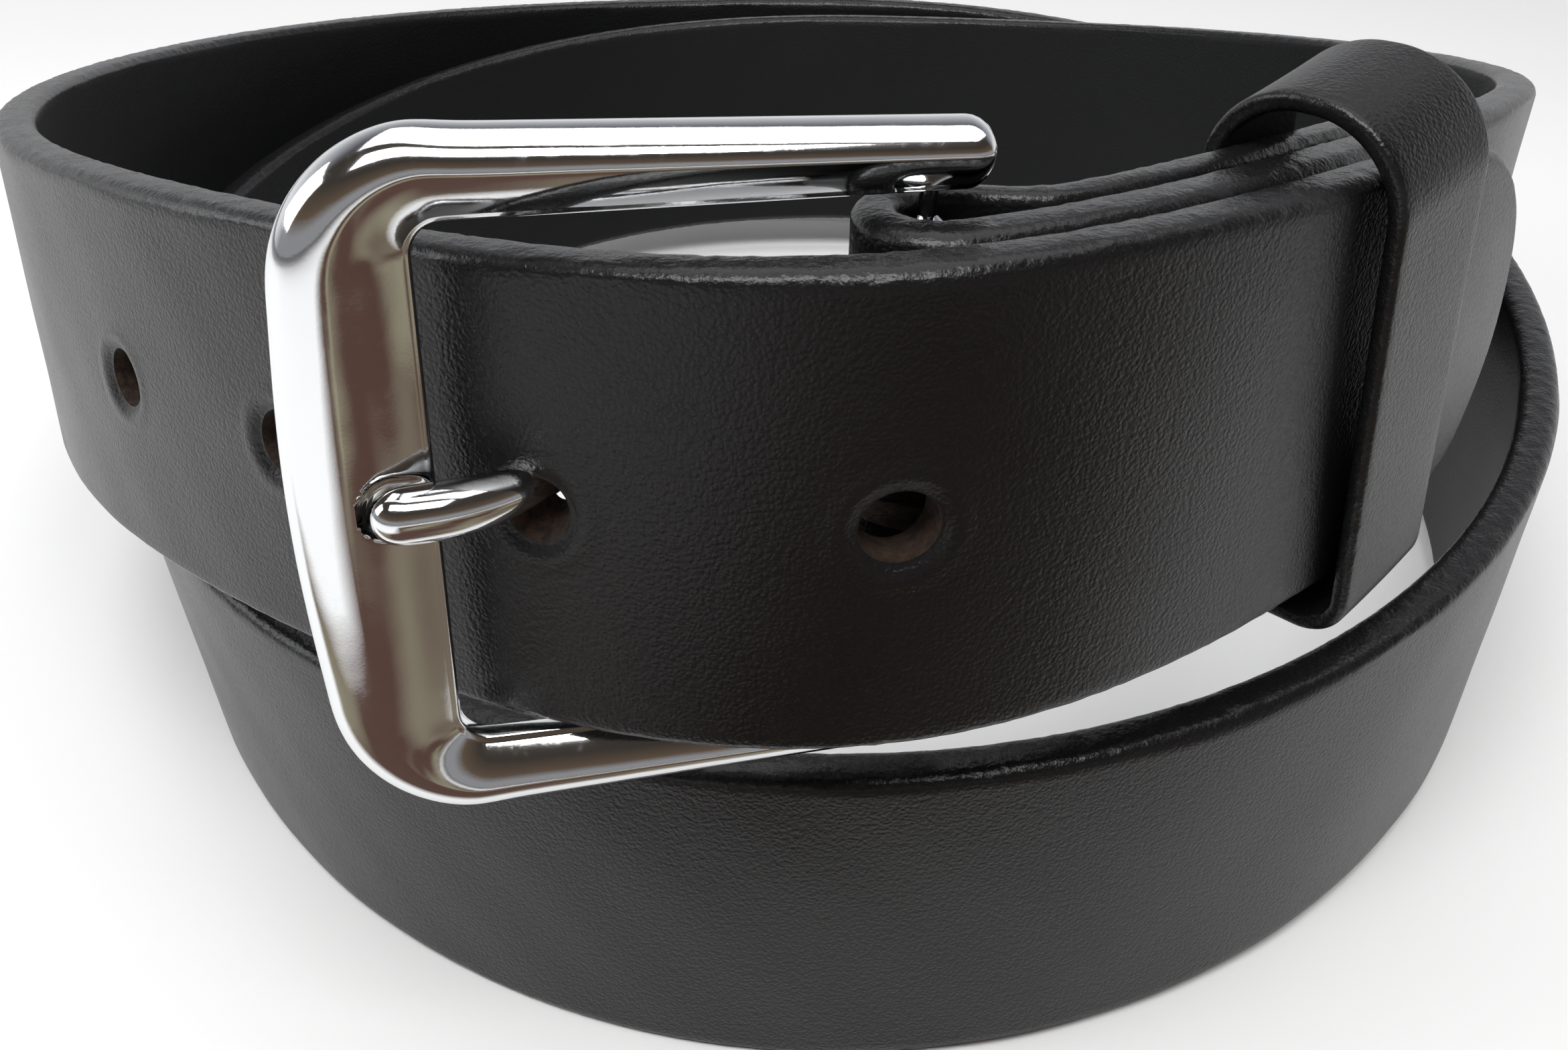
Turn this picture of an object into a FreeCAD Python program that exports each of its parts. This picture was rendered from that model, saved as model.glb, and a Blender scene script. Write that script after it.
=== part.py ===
"""Leather belt, buckled and coiled in two winds that stand on edge.

Millimetres.  The origin is on the table under the middle of the coil, +Z is up and the
buckle faces -Y.  The strap is one ribbon of leather, described by a coil angle: 0 is the
buckle at the upper front, half a turn is the back (inside strand), one turn is the lower
front, one and a half turns is the back again (outside strand), and two turns is the
buckle again, where the ribbon passes over its own folded end and becomes the tail.
"""
import FreeCAD
import Part

import math
import os

from FreeCAD import Vector

# ---- strap leather -------------------------------------------------------------------
STRAP_WIDTH = 38.0            # a 1 1/2 inch strap
STRAP_THICK = 4.2
TURNBACK_THICK = 3.0          # the folded end is skived thinner
EDGE_BEVEL = 0.9
HOLE_RADIUS = 2.9
HOLE_PITCH = 26.0
HOLES_BEFORE_PRONG = 1        # free holes between the prong and the tip
HOLES_AFTER_PRONG = 2

# ---- coil ----------------------------------------------------------------------------
COIL_CENTRE = (7.04, 23.77)
COIL_SHIFT = (0.71, 3.15)       # half the offset between the upper and the lower wind
COIL_RADIUS = (82.3, 107.2)
STRAND_STEP = (6.0, 8.6)      # half the distance between the inside and outside strand
EGG_FRONT = 0.195             # relative swelling of the plan shape
EGG_OVAL = -0.063
EGG_SIDE = -0.055
EGG_SKEW = -0.013
RIGHT_SWELL = (2.6, 1.5, 0.6) # the upper wind swells sideways: by how much, where, over what angle
LEFT_SWELL = (4.8, -1.5, 0.6)
UPPER_RISE = 48.0             # the upper wind above the lower one at the front
RISE_POWER = 1.44
BACK_RISE = 5.8               # the back of the coil stands a little off the table
SIDE_TILT = 0.8
TABLE_LIFT = -0.1
LEAN_MEAN = 6.5               # degrees, top edge outwards
LEAN_FRONT = -5.9
LEAN_WIND = -3.5
LEAN_SIDE = 3.4

# ---- buckle end of the strap -----------------------------------------------------------
BULGE_DEPTH = 15.0            # the tail bulges forward over the folded end
BULGE_ANGLE = -0.043          # coil angle, radians
BULGE_SPREAD = 0.338
BUCKLE_ROLL = 1.2             # degrees, the heel bar's top leans along the strap
BUCKLE_ROLL_SPREAD = 0.5      # coil angle over which the strap takes up that roll
LAYER_GAP = 0.35
FOLD_ANGLE = 0.043            # coil angle of the heel bar
TIP_ANGLE = 0.74              # coil angle of the tail's tip, counted from the buckle
TIP_LENGTH = 24.0
TIP_WIDTH = 9.0
TURNBACK_ANGLE = 0.76         # the turned-back end stops here
TURNBACK_CLOSE = 0.14         # radians in which the turned-back end closes on the strap
MAIN_FADE = (0.86, 1.8)       # past the tip the strap eases out to the coil's own line
PRONG_SLOT_LENGTH = 15.0
PRONG_SLOT_HEIGHT = 7.2
PRONG_SLOT_SHIFT = -2.0       # the slot reaches further along the buckle side

# ---- buckle frame, in its own plane (u from front bar to heel bar, v up, n outwards) ----
HEEL_RADIUS = 2.2
HEEL_FIT = 0.12
HEEL_ROOT = 0.3               # the bar runs this far into the side bars
FRAME_INNER_LENGTH = 34.8
FRAME_INNER_HEIGHT = 40.6
FRAME_DROP = 0.8              # the frame hangs this far below the middle of the strap
FRONT_BAR = 9.3
SIDE_BAR_FRONT = 6.5
SIDE_BAR_TIP = 4.8
FRAME_TIP = 3.8
FRAME_THICK = 4.8
FRAME_CORNER = 11.0
FRAME_INNER_CORNER = 2.0
FRAME_CROWN = 2.0             # rounding of the outer front edge
FRAME_BEVEL = (4.4, 3.2)      # width of the inner bevel on the front bar and on the side bars
FRAME_BEVEL_DEPTH = 2.0
FRAME_BACK_BEVEL = 1.3
FRAME_BACK_ROUND = 0.8        # rounding of the outer back edge
FRAME_TIP_CORNER = 2.4
FRAME_BOW_CORNER = 60.0
FRAME_BOW = 0.8               # the front bar's outer side swells by this much
FRAME_TURN = 4.5              # degrees, front bar turned in from the fold's tangent
NOTCH_RADIUS = 2.8            # seat for the prong's tip
NOTCH_LENGTH = 6.5
NOTCH_CENTRE = 2.6            # n of the seat's axis

# ---- prong -----------------------------------------------------------------------------
PRONG_RADIUS = 1.35
PRONG_TIP_RADIUS = 2.2
PRONG_SWELL = (0.74, 0.84)    # share of the length over which the shank swells to the tip
PRONG_NOSE = 0.93             # the rounded nose starts here
NOSE_END = 0.97               # the nose stops just short of a point
PRONG_EYE_RADIUS = 4.3
PRONG_EYE_HEIGHT = 5.6
PRONG_FIT = 0.1
PRONG_CLEARANCE = 0.4
PRONG_CLEAR_TURNS = (0.5, -1.5, -3.5, -5.5)

# ---- keeper ----------------------------------------------------------------------------
KEEPER_ANGLE = 0.458
KEEPER_BAND = 13.6
KEEPER_TILT = -6.5            # degrees, the loose loop hangs askew on the strap
KEEPER_THICK = 1.6
KEEPER_SIDE_GAP = 1.2
KEEPER_TOP_GAP = 4.8
KEEPER_BOTTOM_GAP = 2.3
STAPLE_WIRE = 0.4             # leg radius
STAPLE_CROWN = 1.1            # width and thickness of the flattened crown
STAPLE_SPAN = 8.0
STAPLE_FIT = 0.05
KEEPER_CORNER = 3.0           # inner corners at the bottom
KEEPER_ARCH_FLAT = 0.4        # the arch's radius falls short of a half circle by this

# ---- screws that hold the turned-back end ------------------------------------------------
SCREW_ANGLES = (0.22, 0.64)
SCREW_POST_RADIUS = 2.4
SCREW_HEAD_RADIUS = 4.0
SCREW_HEAD_THICK = 0.9
SCREW_THREAD_RADIUS = 1.5
SCREW_FIT = 0.06
SCREW_END_GAP = 1.6           # the thread stops this far short of the stack's thickness
SCREW_SLOT = (1.0, 0.4)       # width and depth
FLANGE_GAP = 0.3              # the flat flange spans the hollow of the curved strap

# ---- where the prong passes through the tail ----------------------------------------------
PRONG_HOLE_X = -18.89

# ---- how the strap is divided for lofting ---------------------------------------------------
SPLIT_ANGLE = 0.8             # coil angle before and after the buckle where the lofts join
TURNBACK_SECTIONS, FOLD_SECTIONS, START_SECTIONS = 14, 9, 16
COIL_SECTIONS, TAIL_SECTIONS, TIP_SECTIONS = 100, 24, 9
TABLE_SIZE = 600.0

UPPER_FRONT = 4.0 * math.pi   # the coil angle of the buckle, reached the second time
EZ = Vector(0, 0, 1)
TOUCH = 1e-6


def smooth(t):
    """Ease from 0 to 1."""
    t = min(1.0, max(0.0, t))
    return t * t * (3.0 - 2.0 * t)


def wound(phi):
    """Coil angle measured from the upper front, between minus and plus one turn."""
    return (phi + 2.0 * math.pi) % (4.0 * math.pi) - 2.0 * math.pi


def swelling(phi, height, angle, spread_angle):
    """A smooth swelling of the upper wind round one coil angle."""
    return height * math.exp(-0.5 * ((wound(phi) - angle) / spread_angle) ** 2)


def coil_line(phi):
    """Outer face of the ribbon in plan, before any layer is stepped inwards."""
    sine, cosine = math.sin(phi), math.cos(phi)
    half_sine, half_cosine = math.sin(phi / 2.0), math.cos(phi / 2.0)
    egg = (1.0 + EGG_FRONT * cosine + EGG_OVAL * math.cos(2.0 * phi) + EGG_SIDE * sine
           + EGG_SKEW * math.sin(2.0 * phi))
    radius_x = (COIL_RADIUS[0] - STRAND_STEP[0] * half_sine) * egg
    radius_y = (COIL_RADIUS[1] - STRAND_STEP[1] * half_sine) * egg
    bulge = swelling(phi, BULGE_DEPTH, BULGE_ANGLE, BULGE_SPREAD)
    sideways = swelling(phi, *RIGHT_SWELL) - swelling(phi, *LEFT_SWELL)
    x = COIL_CENTRE[0] + COIL_SHIFT[0] * half_cosine + radius_x * sine + sideways
    y = COIL_CENTRE[1] + COIL_SHIFT[1] * half_cosine - radius_y * cosine - bulge
    return Vector(x, y, 0)


def lean_angle(phi):
    front = (1.0 + math.cos(phi)) / 2.0
    half_sine, half_cosine = math.sin(phi / 2.0), math.cos(phi / 2.0)
    lean = LEAN_MEAN + (LEAN_WIND * half_cosine + LEAN_FRONT) * front + LEAN_SIDE * half_sine
    return math.radians(lean)


def middle_height(phi):
    turn = wound(phi)
    lift = 0.0
    if abs(turn) < math.pi:
        lift = UPPER_RISE * ((1.0 + math.cos(turn)) / 2.0) ** RISE_POWER
    back = BACK_RISE * (1.0 - math.cos(phi)) / 2.0
    half = (STRAP_WIDTH / 2.0) * math.cos(lean_angle(phi))
    return half + lift + back + SIDE_TILT * math.sin(phi) + TABLE_LIFT


class Station:
    """A place on the ribbon: outer-face point and the directions along, out and up."""

    def __init__(self, phi, depth=0.0):
        step = 0.001
        ahead, behind = coil_line(phi + step), coil_line(phi - step)
        level = (ahead - behind).normalize()
        level_out = Vector(level.y, -level.x, 0)
        lean = lean_angle(phi)
        roll = math.radians(BUCKLE_ROLL) * math.exp(-((wound(phi) / BUCKLE_ROLL_SPREAD) ** 2))
        self.out = level_out * math.cos(lean) - EZ * math.sin(lean)
        straight_up = level_out * math.sin(lean) + EZ * math.cos(lean)
        self.up = straight_up * math.cos(roll) + level * math.sin(roll)
        self.along = self.up.cross(self.out)
        centre = coil_line(phi) + EZ * middle_height(phi)
        self.point = centre - self.out * depth

    def at(self, along=0.0, up=0.0, out=0.0):
        return self.point + self.along * along + self.up * up + self.out * out


def main_depth(phi):
    """How far the main strap's outer face lies inside the coil line."""
    start, end = MAIN_FADE
    return (STRAP_THICK + LAYER_GAP) * (1.0 - smooth((phi - start) / (end - start)))


def section_wire(centre, up, out, width, thickness):
    """Ribbon cross-section: a rectangle with bevelled edges."""
    half_w, half_t = width / 2.0, thickness / 2.0
    bevel = min(EDGE_BEVEL, 0.3 * thickness)
    outline = []
    for up_sign, out_sign, side_first in ((1, 1, True), (1, -1, False), (-1, -1, True), (-1, 1, False)):
        on_side = centre + up * (up_sign * (half_w - bevel)) + out * (out_sign * half_t)
        on_edge = centre + up * (up_sign * half_w) + out * (out_sign * (half_t - bevel))
        outline += [on_side, on_edge] if side_first else [on_edge, on_side]
    return Part.makePolygon(outline + outline[:1])


def loft(wires):
    return Part.makeLoft(wires, True, False)


def spread(start, end, count):
    """Evenly spaced values from start to end, both included."""
    return [start + (end - start) * i / (count - 1) for i in range(count)]


# ---- strap -------------------------------------------------------------------------------
def strap_section(phi):
    station = Station(phi, main_depth(phi) + STRAP_THICK / 2.0)
    return section_wire(station.point, station.up, station.out, STRAP_WIDTH, STRAP_THICK)


def heel_depth():
    """Depth of the heel bar's axis below the coil line at the fold."""
    return main_depth(FOLD_ANGLE) + STRAP_THICK + HEEL_FIT + HEEL_RADIUS


def turnback_depth(phi):
    """Depth of the middle of the turned-back layer."""
    closing = 1.0 - smooth((phi - FOLD_ANGLE) / TURNBACK_CLOSE)
    gap = LAYER_GAP + (2.0 * (HEEL_RADIUS + HEEL_FIT) - LAYER_GAP) * closing
    return main_depth(phi) + STRAP_THICK + gap + TURNBACK_THICK / 2.0


def fold_sections():
    """From the turned-back side round the heel bar to the main strap."""
    axis = Station(FOLD_ANGLE, heel_depth())
    wires = []
    for turn in spread(0.0, math.pi, FOLD_SECTIONS):
        thickness = TURNBACK_THICK + (STRAP_THICK - TURNBACK_THICK) * smooth(turn / math.pi)
        outward = axis.out * -math.cos(turn) - axis.along * math.sin(turn)
        centre = axis.point + outward * (HEEL_RADIUS + HEEL_FIT + thickness / 2.0)
        wires.append(section_wire(centre, axis.up, outward, STRAP_WIDTH, thickness))
    return wires


def turnback_sections():
    wires = []
    for phi in spread(TURNBACK_ANGLE, FOLD_ANGLE, TURNBACK_SECTIONS):
        station = Station(phi, turnback_depth(phi))
        wires.append(section_wire(station.point, station.up, -station.out, STRAP_WIDTH, TURNBACK_THICK))
    return wires


def tail_width(phi):
    """The tail narrows to a rounded point."""
    tip = UPPER_FRONT + TIP_ANGLE
    to_tip = (Station(tip).point - Station(phi).point).Length
    if to_tip >= TIP_LENGTH:
        return STRAP_WIDTH
    return TIP_WIDTH + (STRAP_WIDTH - TIP_WIDTH) * math.sqrt(1.0 - (1.0 - to_tip / TIP_LENGTH) ** 2)


def tail_section(phi):
    station = Station(phi, STRAP_THICK / 2.0)
    return section_wire(station.point, station.up, station.out, tail_width(phi), STRAP_THICK)


def along_strap(phi, distance):
    """Coil angle that lies a distance further along the ribbon."""
    step = 0.002 if distance > 0 else -0.002
    gone = 0.0
    while gone < abs(distance):
        gone += (coil_line(phi + step) - coil_line(phi)).Length
        phi += step
    return phi


def angle_at_x(x):
    """Coil angle on the upper front where the outer face reaches x."""
    low, high = -0.9, 0.9
    for _ in range(40):
        middle = (low + high) / 2.0
        if coil_line(middle).x < x:
            low = middle
        else:
            high = middle
    return low


def cylinder(point, direction, radius, length):
    return Part.makeCylinder(radius, length, point, direction)


def hole_angles():
    """Coil angles of the size holes, with the one that holds the prong first."""
    prong_hole = UPPER_FRONT + angle_at_x(PRONG_HOLE_X)
    angles = [prong_hole]
    for number in range(1, HOLES_BEFORE_PRONG + 1):
        angles.append(along_strap(prong_hole, HOLE_PITCH * number))
    for number in range(1, HOLES_AFTER_PRONG + 1):
        angles.append(along_strap(prong_hole, -HOLE_PITCH * number))
    return angles


def hole_cutter(phi):
    station = Station(phi)
    return cylinder(station.at(out=1.0), station.out * -1.0, HOLE_RADIUS, STRAP_THICK + 2.0)


def placed(shape, axis, turn_deg=0.0):
    """Move a shape from (u, v, n) coordinates onto an axis station, turned about its up direction."""
    turn = math.radians(turn_deg)
    u = axis.along * math.cos(turn) + axis.out * math.sin(turn)
    n = axis.out * math.cos(turn) - axis.along * math.sin(turn)
    v = axis.up
    p = axis.point
    matrix = FreeCAD.Matrix(u.x, v.x, n.x, p.x, u.y, v.y, n.y, p.y, u.z, v.z, n.z, p.z, 0, 0, 0, 1)
    moved = shape.copy()
    moved.Placement = FreeCAD.Placement(matrix).multiply(shape.Placement)
    return moved


HEEL_AXIS = Station(FOLD_ANGLE, heel_depth())


def prong_slot():
    """Slot through both layers at the fold, where the prong's eye sits."""
    reach = 3.0 * STRAP_THICK
    slot = Part.makeBox(PRONG_SLOT_LENGTH, PRONG_SLOT_HEIGHT, 2.0 * reach)
    slot.translate(Vector(PRONG_SLOT_SHIFT - PRONG_SLOT_LENGTH / 2.0, -PRONG_SLOT_HEIGHT / 2.0, -reach))
    return placed(slot, HEEL_AXIS)


# ---- screws ------------------------------------------------------------------------------
def stack_thickness(phi):
    """Main strap, closed gap and turned-back end."""
    return turnback_depth(phi) + TURNBACK_THICK / 2.0 - main_depth(phi)


def screw_cutters():
    cutters = []
    for phi in SCREW_ANGLES:
        station = Station(phi, main_depth(phi))
        deep = stack_thickness(phi)
        cutters.append(cylinder(station.at(out=1.0), station.out * -1.0,
                                SCREW_POST_RADIUS + SCREW_FIT, deep + 2.0))
        cutters.append(cylinder(station.at(out=1.0), station.out * -1.0,
                                SCREW_HEAD_RADIUS + SCREW_FIT, 1.0 + SCREW_HEAD_THICK + SCREW_FIT))
    return cutters


def build_screw_posts():
    """Inner halves: a flange inside the belt and a hollow post through both layers."""
    posts = []
    for phi in SCREW_ANGLES:
        station = Station(phi, main_depth(phi))
        deep = stack_thickness(phi)
        flange_face = station.at(out=-deep - FLANGE_GAP)
        flange = cylinder(flange_face, station.out * -1.0, SCREW_HEAD_RADIUS, SCREW_HEAD_THICK)
        barrel_length = deep + FLANGE_GAP - SCREW_HEAD_THICK - SCREW_FIT
        barrel = cylinder(flange_face, station.out, SCREW_POST_RADIUS, barrel_length)
        thread = cylinder(flange_face + station.out * SCREW_HEAD_THICK, station.out,
                          SCREW_THREAD_RADIUS + SCREW_FIT, deep)
        posts.append(flange.fuse(barrel).cut(thread))
    return Part.makeCompound(posts)


def build_screws():
    """Outer halves: a flat head sunk in the strap, with a slot, and a short thread."""
    screws = []
    for phi in SCREW_ANGLES:
        station = Station(phi, main_depth(phi))
        head = cylinder(station.at(out=-SCREW_HEAD_THICK), station.out, SCREW_HEAD_RADIUS, SCREW_HEAD_THICK)
        shank_length = stack_thickness(phi) - SCREW_HEAD_THICK - SCREW_END_GAP
        shank = cylinder(station.at(out=-SCREW_HEAD_THICK), station.out * -1.0,
                         SCREW_THREAD_RADIUS, shank_length)
        width, depth = SCREW_SLOT
        slot = Part.makeBox(width, 2.4 * SCREW_HEAD_RADIUS, 2.0 * depth)
        slot.translate(Vector(-width / 2.0, -1.2 * SCREW_HEAD_RADIUS, -depth))
        screws.append(head.fuse(shank).cut(placed(slot, station)))
    return Part.makeCompound(screws)


# ---- buckle frame --------------------------------------------------------------------------
def rounded_outline(corners, radii):
    """Closed wire in the u-v plane through corners, each rounded with its own radius."""
    edges = []
    count = len(corners)
    tangents = []
    for i, corner in enumerate(corners):
        before = (corners[i - 1] - corner).normalize()
        after = (corners[(i + 1) % count] - corner).normalize()
        half_angle = before.getAngle(after) / 2.0
        reach = radii[i] / math.tan(half_angle)
        bisector = (before + after).normalize()
        middle = corner + bisector * (radii[i] / math.sin(half_angle) - radii[i])
        tangents.append((corner + before * reach, middle, corner + after * reach))
    for i in range(count):
        start, middle, end = tangents[i]
        edges.append(Part.Arc(start, middle, end).toShape())
        following = tangents[(i + 1) % count][0]
        edges.append(Part.LineSegment(end, following).toShape())
    return Part.Wire(edges)


def frame_outline(n):
    """Outer outline of the frame at height n."""
    left = -FRAME_INNER_LENGTH - FRONT_BAR
    half_front = FRAME_INNER_HEIGHT / 2.0 + SIDE_BAR_FRONT
    half_tip = FRAME_INNER_HEIGHT / 2.0 + SIDE_BAR_TIP
    right = FRAME_TIP
    corners = [Vector(left, -half_front, n), Vector(left - FRAME_BOW, 0, n), Vector(left, half_front, n),
               Vector(right, half_tip, n), Vector(right, -half_tip, n)]
    return rounded_outline(corners, [FRAME_CORNER, FRAME_BOW_CORNER, FRAME_CORNER,
                                     FRAME_TIP_CORNER, FRAME_TIP_CORNER])


def opening_wire(grow_front, grow_side, n):
    """Outline of the opening, larger than its narrowest by the two amounts, open past the bar tips."""
    left = -FRAME_INNER_LENGTH - grow_front
    half = FRAME_INNER_HEIGHT / 2.0 + grow_side
    right = FRAME_TIP + 10.0
    corners = [Vector(left, -half, n), Vector(left, half, n),
               Vector(right, half, n), Vector(right, -half, n)]
    corner = FRAME_INNER_CORNER + grow_side / 2.0
    return rounded_outline(corners, [corner, corner, 1.0, 1.0])


def build_buckle_frame():
    half = FRAME_THICK / 2.0
    blank = Part.Face(frame_outline(-half)).extrude(Vector(0, 0, FRAME_THICK))
    front_edges = [e for e in blank.Edges if abs(e.BoundBox.ZMin - half) < TOUCH]
    blank = blank.makeFillet(FRAME_CROWN, front_edges)
    back_edges = [e for e in blank.Edges if abs(e.BoundBox.ZMax + half) < TOUCH]
    blank = blank.makeFillet(FRAME_BACK_ROUND, back_edges)
    opening = Part.Face(opening_wire(0.0, 0.0, -half - 1.0)).extrude(Vector(0, 0, FRAME_THICK + 2.0))
    bevel_floor = half - FRAME_BEVEL_DEPTH
    bevel = Part.makeLoft([opening_wire(0.0, 0.0, bevel_floor),
                           opening_wire(FRAME_BEVEL[0], FRAME_BEVEL[1], half)], True)
    back_bevel = Part.makeLoft([opening_wire(FRAME_BACK_BEVEL, FRAME_BACK_BEVEL, -half),
                                opening_wire(0.0, 0.0, -half + FRAME_BACK_BEVEL)], True)
    notch_start = -FRAME_INNER_LENGTH + 1.0
    notch = Part.makeCylinder(NOTCH_RADIUS, NOTCH_LENGTH + 1.0 - NOTCH_RADIUS,
                              Vector(notch_start, FRAME_DROP, NOTCH_CENTRE), Vector(-1, 0, 0))
    notch_end = Part.makeSphere(NOTCH_RADIUS, Vector(notch_start - NOTCH_LENGTH - 1.0 + NOTCH_RADIUS,
                                                     FRAME_DROP, NOTCH_CENTRE))
    bar_length = FRAME_INNER_HEIGHT + 2.0 * HEEL_ROOT
    heel_bar = Part.makeCylinder(HEEL_RADIUS, bar_length, Vector(0, -bar_length / 2.0, 0), Vector(0, 1, 0))
    frame = blank.cut([opening, bevel, back_bevel, notch, notch_end]).fuse(heel_bar)
    frame.translate(Vector(0, -FRAME_DROP, 0))
    return placed(frame.removeSplitter(), HEEL_AXIS, FRAME_TURN)


# ---- prong -----------------------------------------------------------------------------------
def prong_path():
    """Middle of the prong in the u-n plane of the frame, from the eye to the tip."""
    points = [(0.0, 2.9), (-6.0, 2.7), (-12.0, 1.6), (-18.0, -0.9), (-22.5, -3.0), (-26.5, -2.6),
              (-30.5, 0.0), (-34.0, 2.2), (-36.8, 2.9), (-39.4, 2.8)]
    curve = Part.BSplineCurve()
    curve.interpolate([Vector(u, 0, n) for u, n in points])
    return curve


def prong_radius(t):
    """Radius along the path: even shank, slight neck, swollen tip, rounded end."""
    start, end = PRONG_SWELL
    radius = PRONG_RADIUS + (PRONG_TIP_RADIUS - PRONG_RADIUS) * smooth((t - start) / (end - start))
    if t > PRONG_NOSE:
        past = (t - PRONG_NOSE) / (1.0 - PRONG_NOSE)
        radius *= math.sqrt(1.0 - (NOSE_END * past) ** 2)
    return radius


def build_prong_shank(extra=0.0):
    curve = prong_path()
    first, last = curve.FirstParameter, curve.LastParameter
    nose = [PRONG_NOSE + (1.0 - PRONG_NOSE) * math.sin(a) for a in spread(0.0, math.pi / 2.0, 8)]
    rings = []
    for t in spread(0.0, PRONG_NOSE, 34) + nose[1:]:
        parameter = first + (last - first) * t
        tangent = curve.tangent(parameter)[0]
        rings.append(Part.Wire(Part.makeCircle(prong_radius(t) + extra, curve.value(parameter), tangent)))
    return loft(rings)


def build_prong():
    eye = Part.makeCylinder(PRONG_EYE_RADIUS, PRONG_EYE_HEIGHT, Vector(0, -PRONG_EYE_HEIGHT / 2.0, 0),
                            Vector(0, 1, 0))
    bore = Part.makeCylinder(HEEL_RADIUS + PRONG_FIT, 2.0 * PRONG_EYE_HEIGHT,
                             Vector(0, -PRONG_EYE_HEIGHT, 0), Vector(0, 1, 0))
    return placed(build_prong_shank().fuse(eye).cut(bore), HEEL_AXIS, FRAME_TURN)


# ---- keeper ----------------------------------------------------------------------------------
def keeper_frame():
    """Tilted station at the keeper and the local radius of the tail's outer face."""
    step = 0.06
    before, here, after = (coil_line(KEEPER_ANGLE + d) for d in (-step, 0.0, step))
    chord = (after - before).Length
    sagitta = (here - (before + after) * 0.5).Length
    radius = (chord / 2.0) ** 2 / (2.0 * sagitta) + sagitta / 2.0
    station = Station(KEEPER_ANGLE)
    tilt = math.radians(KEEPER_TILT)
    upright, level = station.up, station.along
    station.up = upright * math.cos(tilt) + level * math.sin(tilt)
    station.along = level * math.cos(tilt) - upright * math.sin(tilt)
    return station, radius


def keeper_profile(station, grow):
    """Closed outline round the stack of layers, arched over the top edge."""
    stack = stack_thickness(KEEPER_ANGLE) + main_depth(KEEPER_ANGLE)
    front = KEEPER_SIDE_GAP + grow
    back = -stack - KEEPER_SIDE_GAP - grow
    top = STRAP_WIDTH / 2.0 + KEEPER_TOP_GAP + grow
    bottom = -STRAP_WIDTH / 2.0 - KEEPER_BOTTOM_GAP - grow
    corners = [station.at(up=bottom, out=front), station.at(up=top, out=front),
               station.at(up=top, out=back), station.at(up=bottom, out=back)]
    arch = (front - back) / 2.0 - KEEPER_ARCH_FLAT
    return rounded_outline(corners, [KEEPER_CORNER + grow, arch, arch, KEEPER_CORNER + grow])


def build_keeper():
    station, radius = keeper_frame()
    centre = station.at(out=-radius)
    half_angle = math.degrees(KEEPER_BAND / 2.0 / radius)
    rings = []
    for grow in (KEEPER_THICK, 0.0):
        face = Part.Face(keeper_profile(station, grow))
        face.rotate(centre, station.up, -half_angle)
        rings.append(face.revolve(centre, station.up, 2.0 * half_angle))
    loop = rings[0].cut(rings[1])
    for leg in staple_legs(station, STAPLE_WIRE + STAPLE_FIT):
        loop = loop.cut(leg)
    return loop


def keeper_back():
    """Distance from the tail's outer face to the back of the keeper."""
    return main_depth(KEEPER_ANGLE) + stack_thickness(KEEPER_ANGLE) + KEEPER_SIDE_GAP + KEEPER_THICK


def staple_legs(station, radius):
    back = keeper_back()
    legs = []
    for side in (-1, 1):
        foot = station.at(up=side * STAPLE_SPAN / 2.0, out=-back - STAPLE_FIT - STAPLE_WIRE)
        legs.append(cylinder(foot, station.out, radius, KEEPER_THICK + STAPLE_FIT + STAPLE_WIRE))
    return legs


def build_keeper_staple():
    """A wire staple that closes the loop at its back."""
    station, _ = keeper_frame()
    length = STAPLE_SPAN + 2.0 * STAPLE_CROWN
    crown = Part.makeBox(STAPLE_CROWN, length, STAPLE_CROWN)
    inside_face = -keeper_back() - STAPLE_FIT
    crown.translate(Vector(-STAPLE_CROWN / 2.0, -length / 2.0, inside_face - STAPLE_CROWN))
    return placed(crown, station).fuse(staple_legs(station, STAPLE_WIRE))


def cut_each(shape, cutters):
    for cutter in cutters:
        if shape.BoundBox.intersect(cutter.BoundBox):
            shape = shape.cut(cutter)
    return shape


def build_strap():
    """Turned-back end, fold, both winds and tail, cut in pieces and then joined as one ribbon."""
    tip = UPPER_FRONT + TIP_ANGLE
    before_tip = along_strap(tip, -TIP_LENGTH)
    over_buckle = UPPER_FRONT - SPLIT_ANGLE
    tip_angles = [tip - (tip - before_tip) * (1.0 - t) ** 2 for t in spread(0.0, 1.0, TIP_SECTIONS)]
    turnback = loft(turnback_sections())
    fold = loft(fold_sections())
    coil_start = loft([strap_section(phi) for phi in spread(FOLD_ANGLE, SPLIT_ANGLE, START_SECTIONS)])
    coil = loft([strap_section(phi) for phi in spread(SPLIT_ANGLE, over_buckle, COIL_SECTIONS)])
    over_fold = loft([tail_section(phi) for phi in spread(over_buckle, before_tip, TAIL_SECTIONS)])
    tail_tip = loft([tail_section(phi) for phi in tip_angles])

    holes = [hole_cutter(phi) for phi in hole_angles()]
    swings = [placed(build_prong_shank(PRONG_CLEARANCE), HEEL_AXIS, FRAME_TURN + turn)
              for turn in PRONG_CLEAR_TURNS]
    table = Part.makeBox(TABLE_SIZE, TABLE_SIZE, STRAP_WIDTH,
                         Vector(-TABLE_SIZE / 2.0, -TABLE_SIZE / 2.0, -STRAP_WIDTH))
    inner_cutters = [prong_slot()] + screw_cutters()
    turnback = cut_each(turnback, inner_cutters)
    fold = cut_each(fold, inner_cutters)
    coil_start = cut_each(coil_start, inner_cutters)
    coil = cut_each(coil, holes + [table])
    over_fold = cut_each(over_fold, holes + swings)
    return turnback.fuse([fold, coil_start, coil, over_fold, tail_tip])


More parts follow.
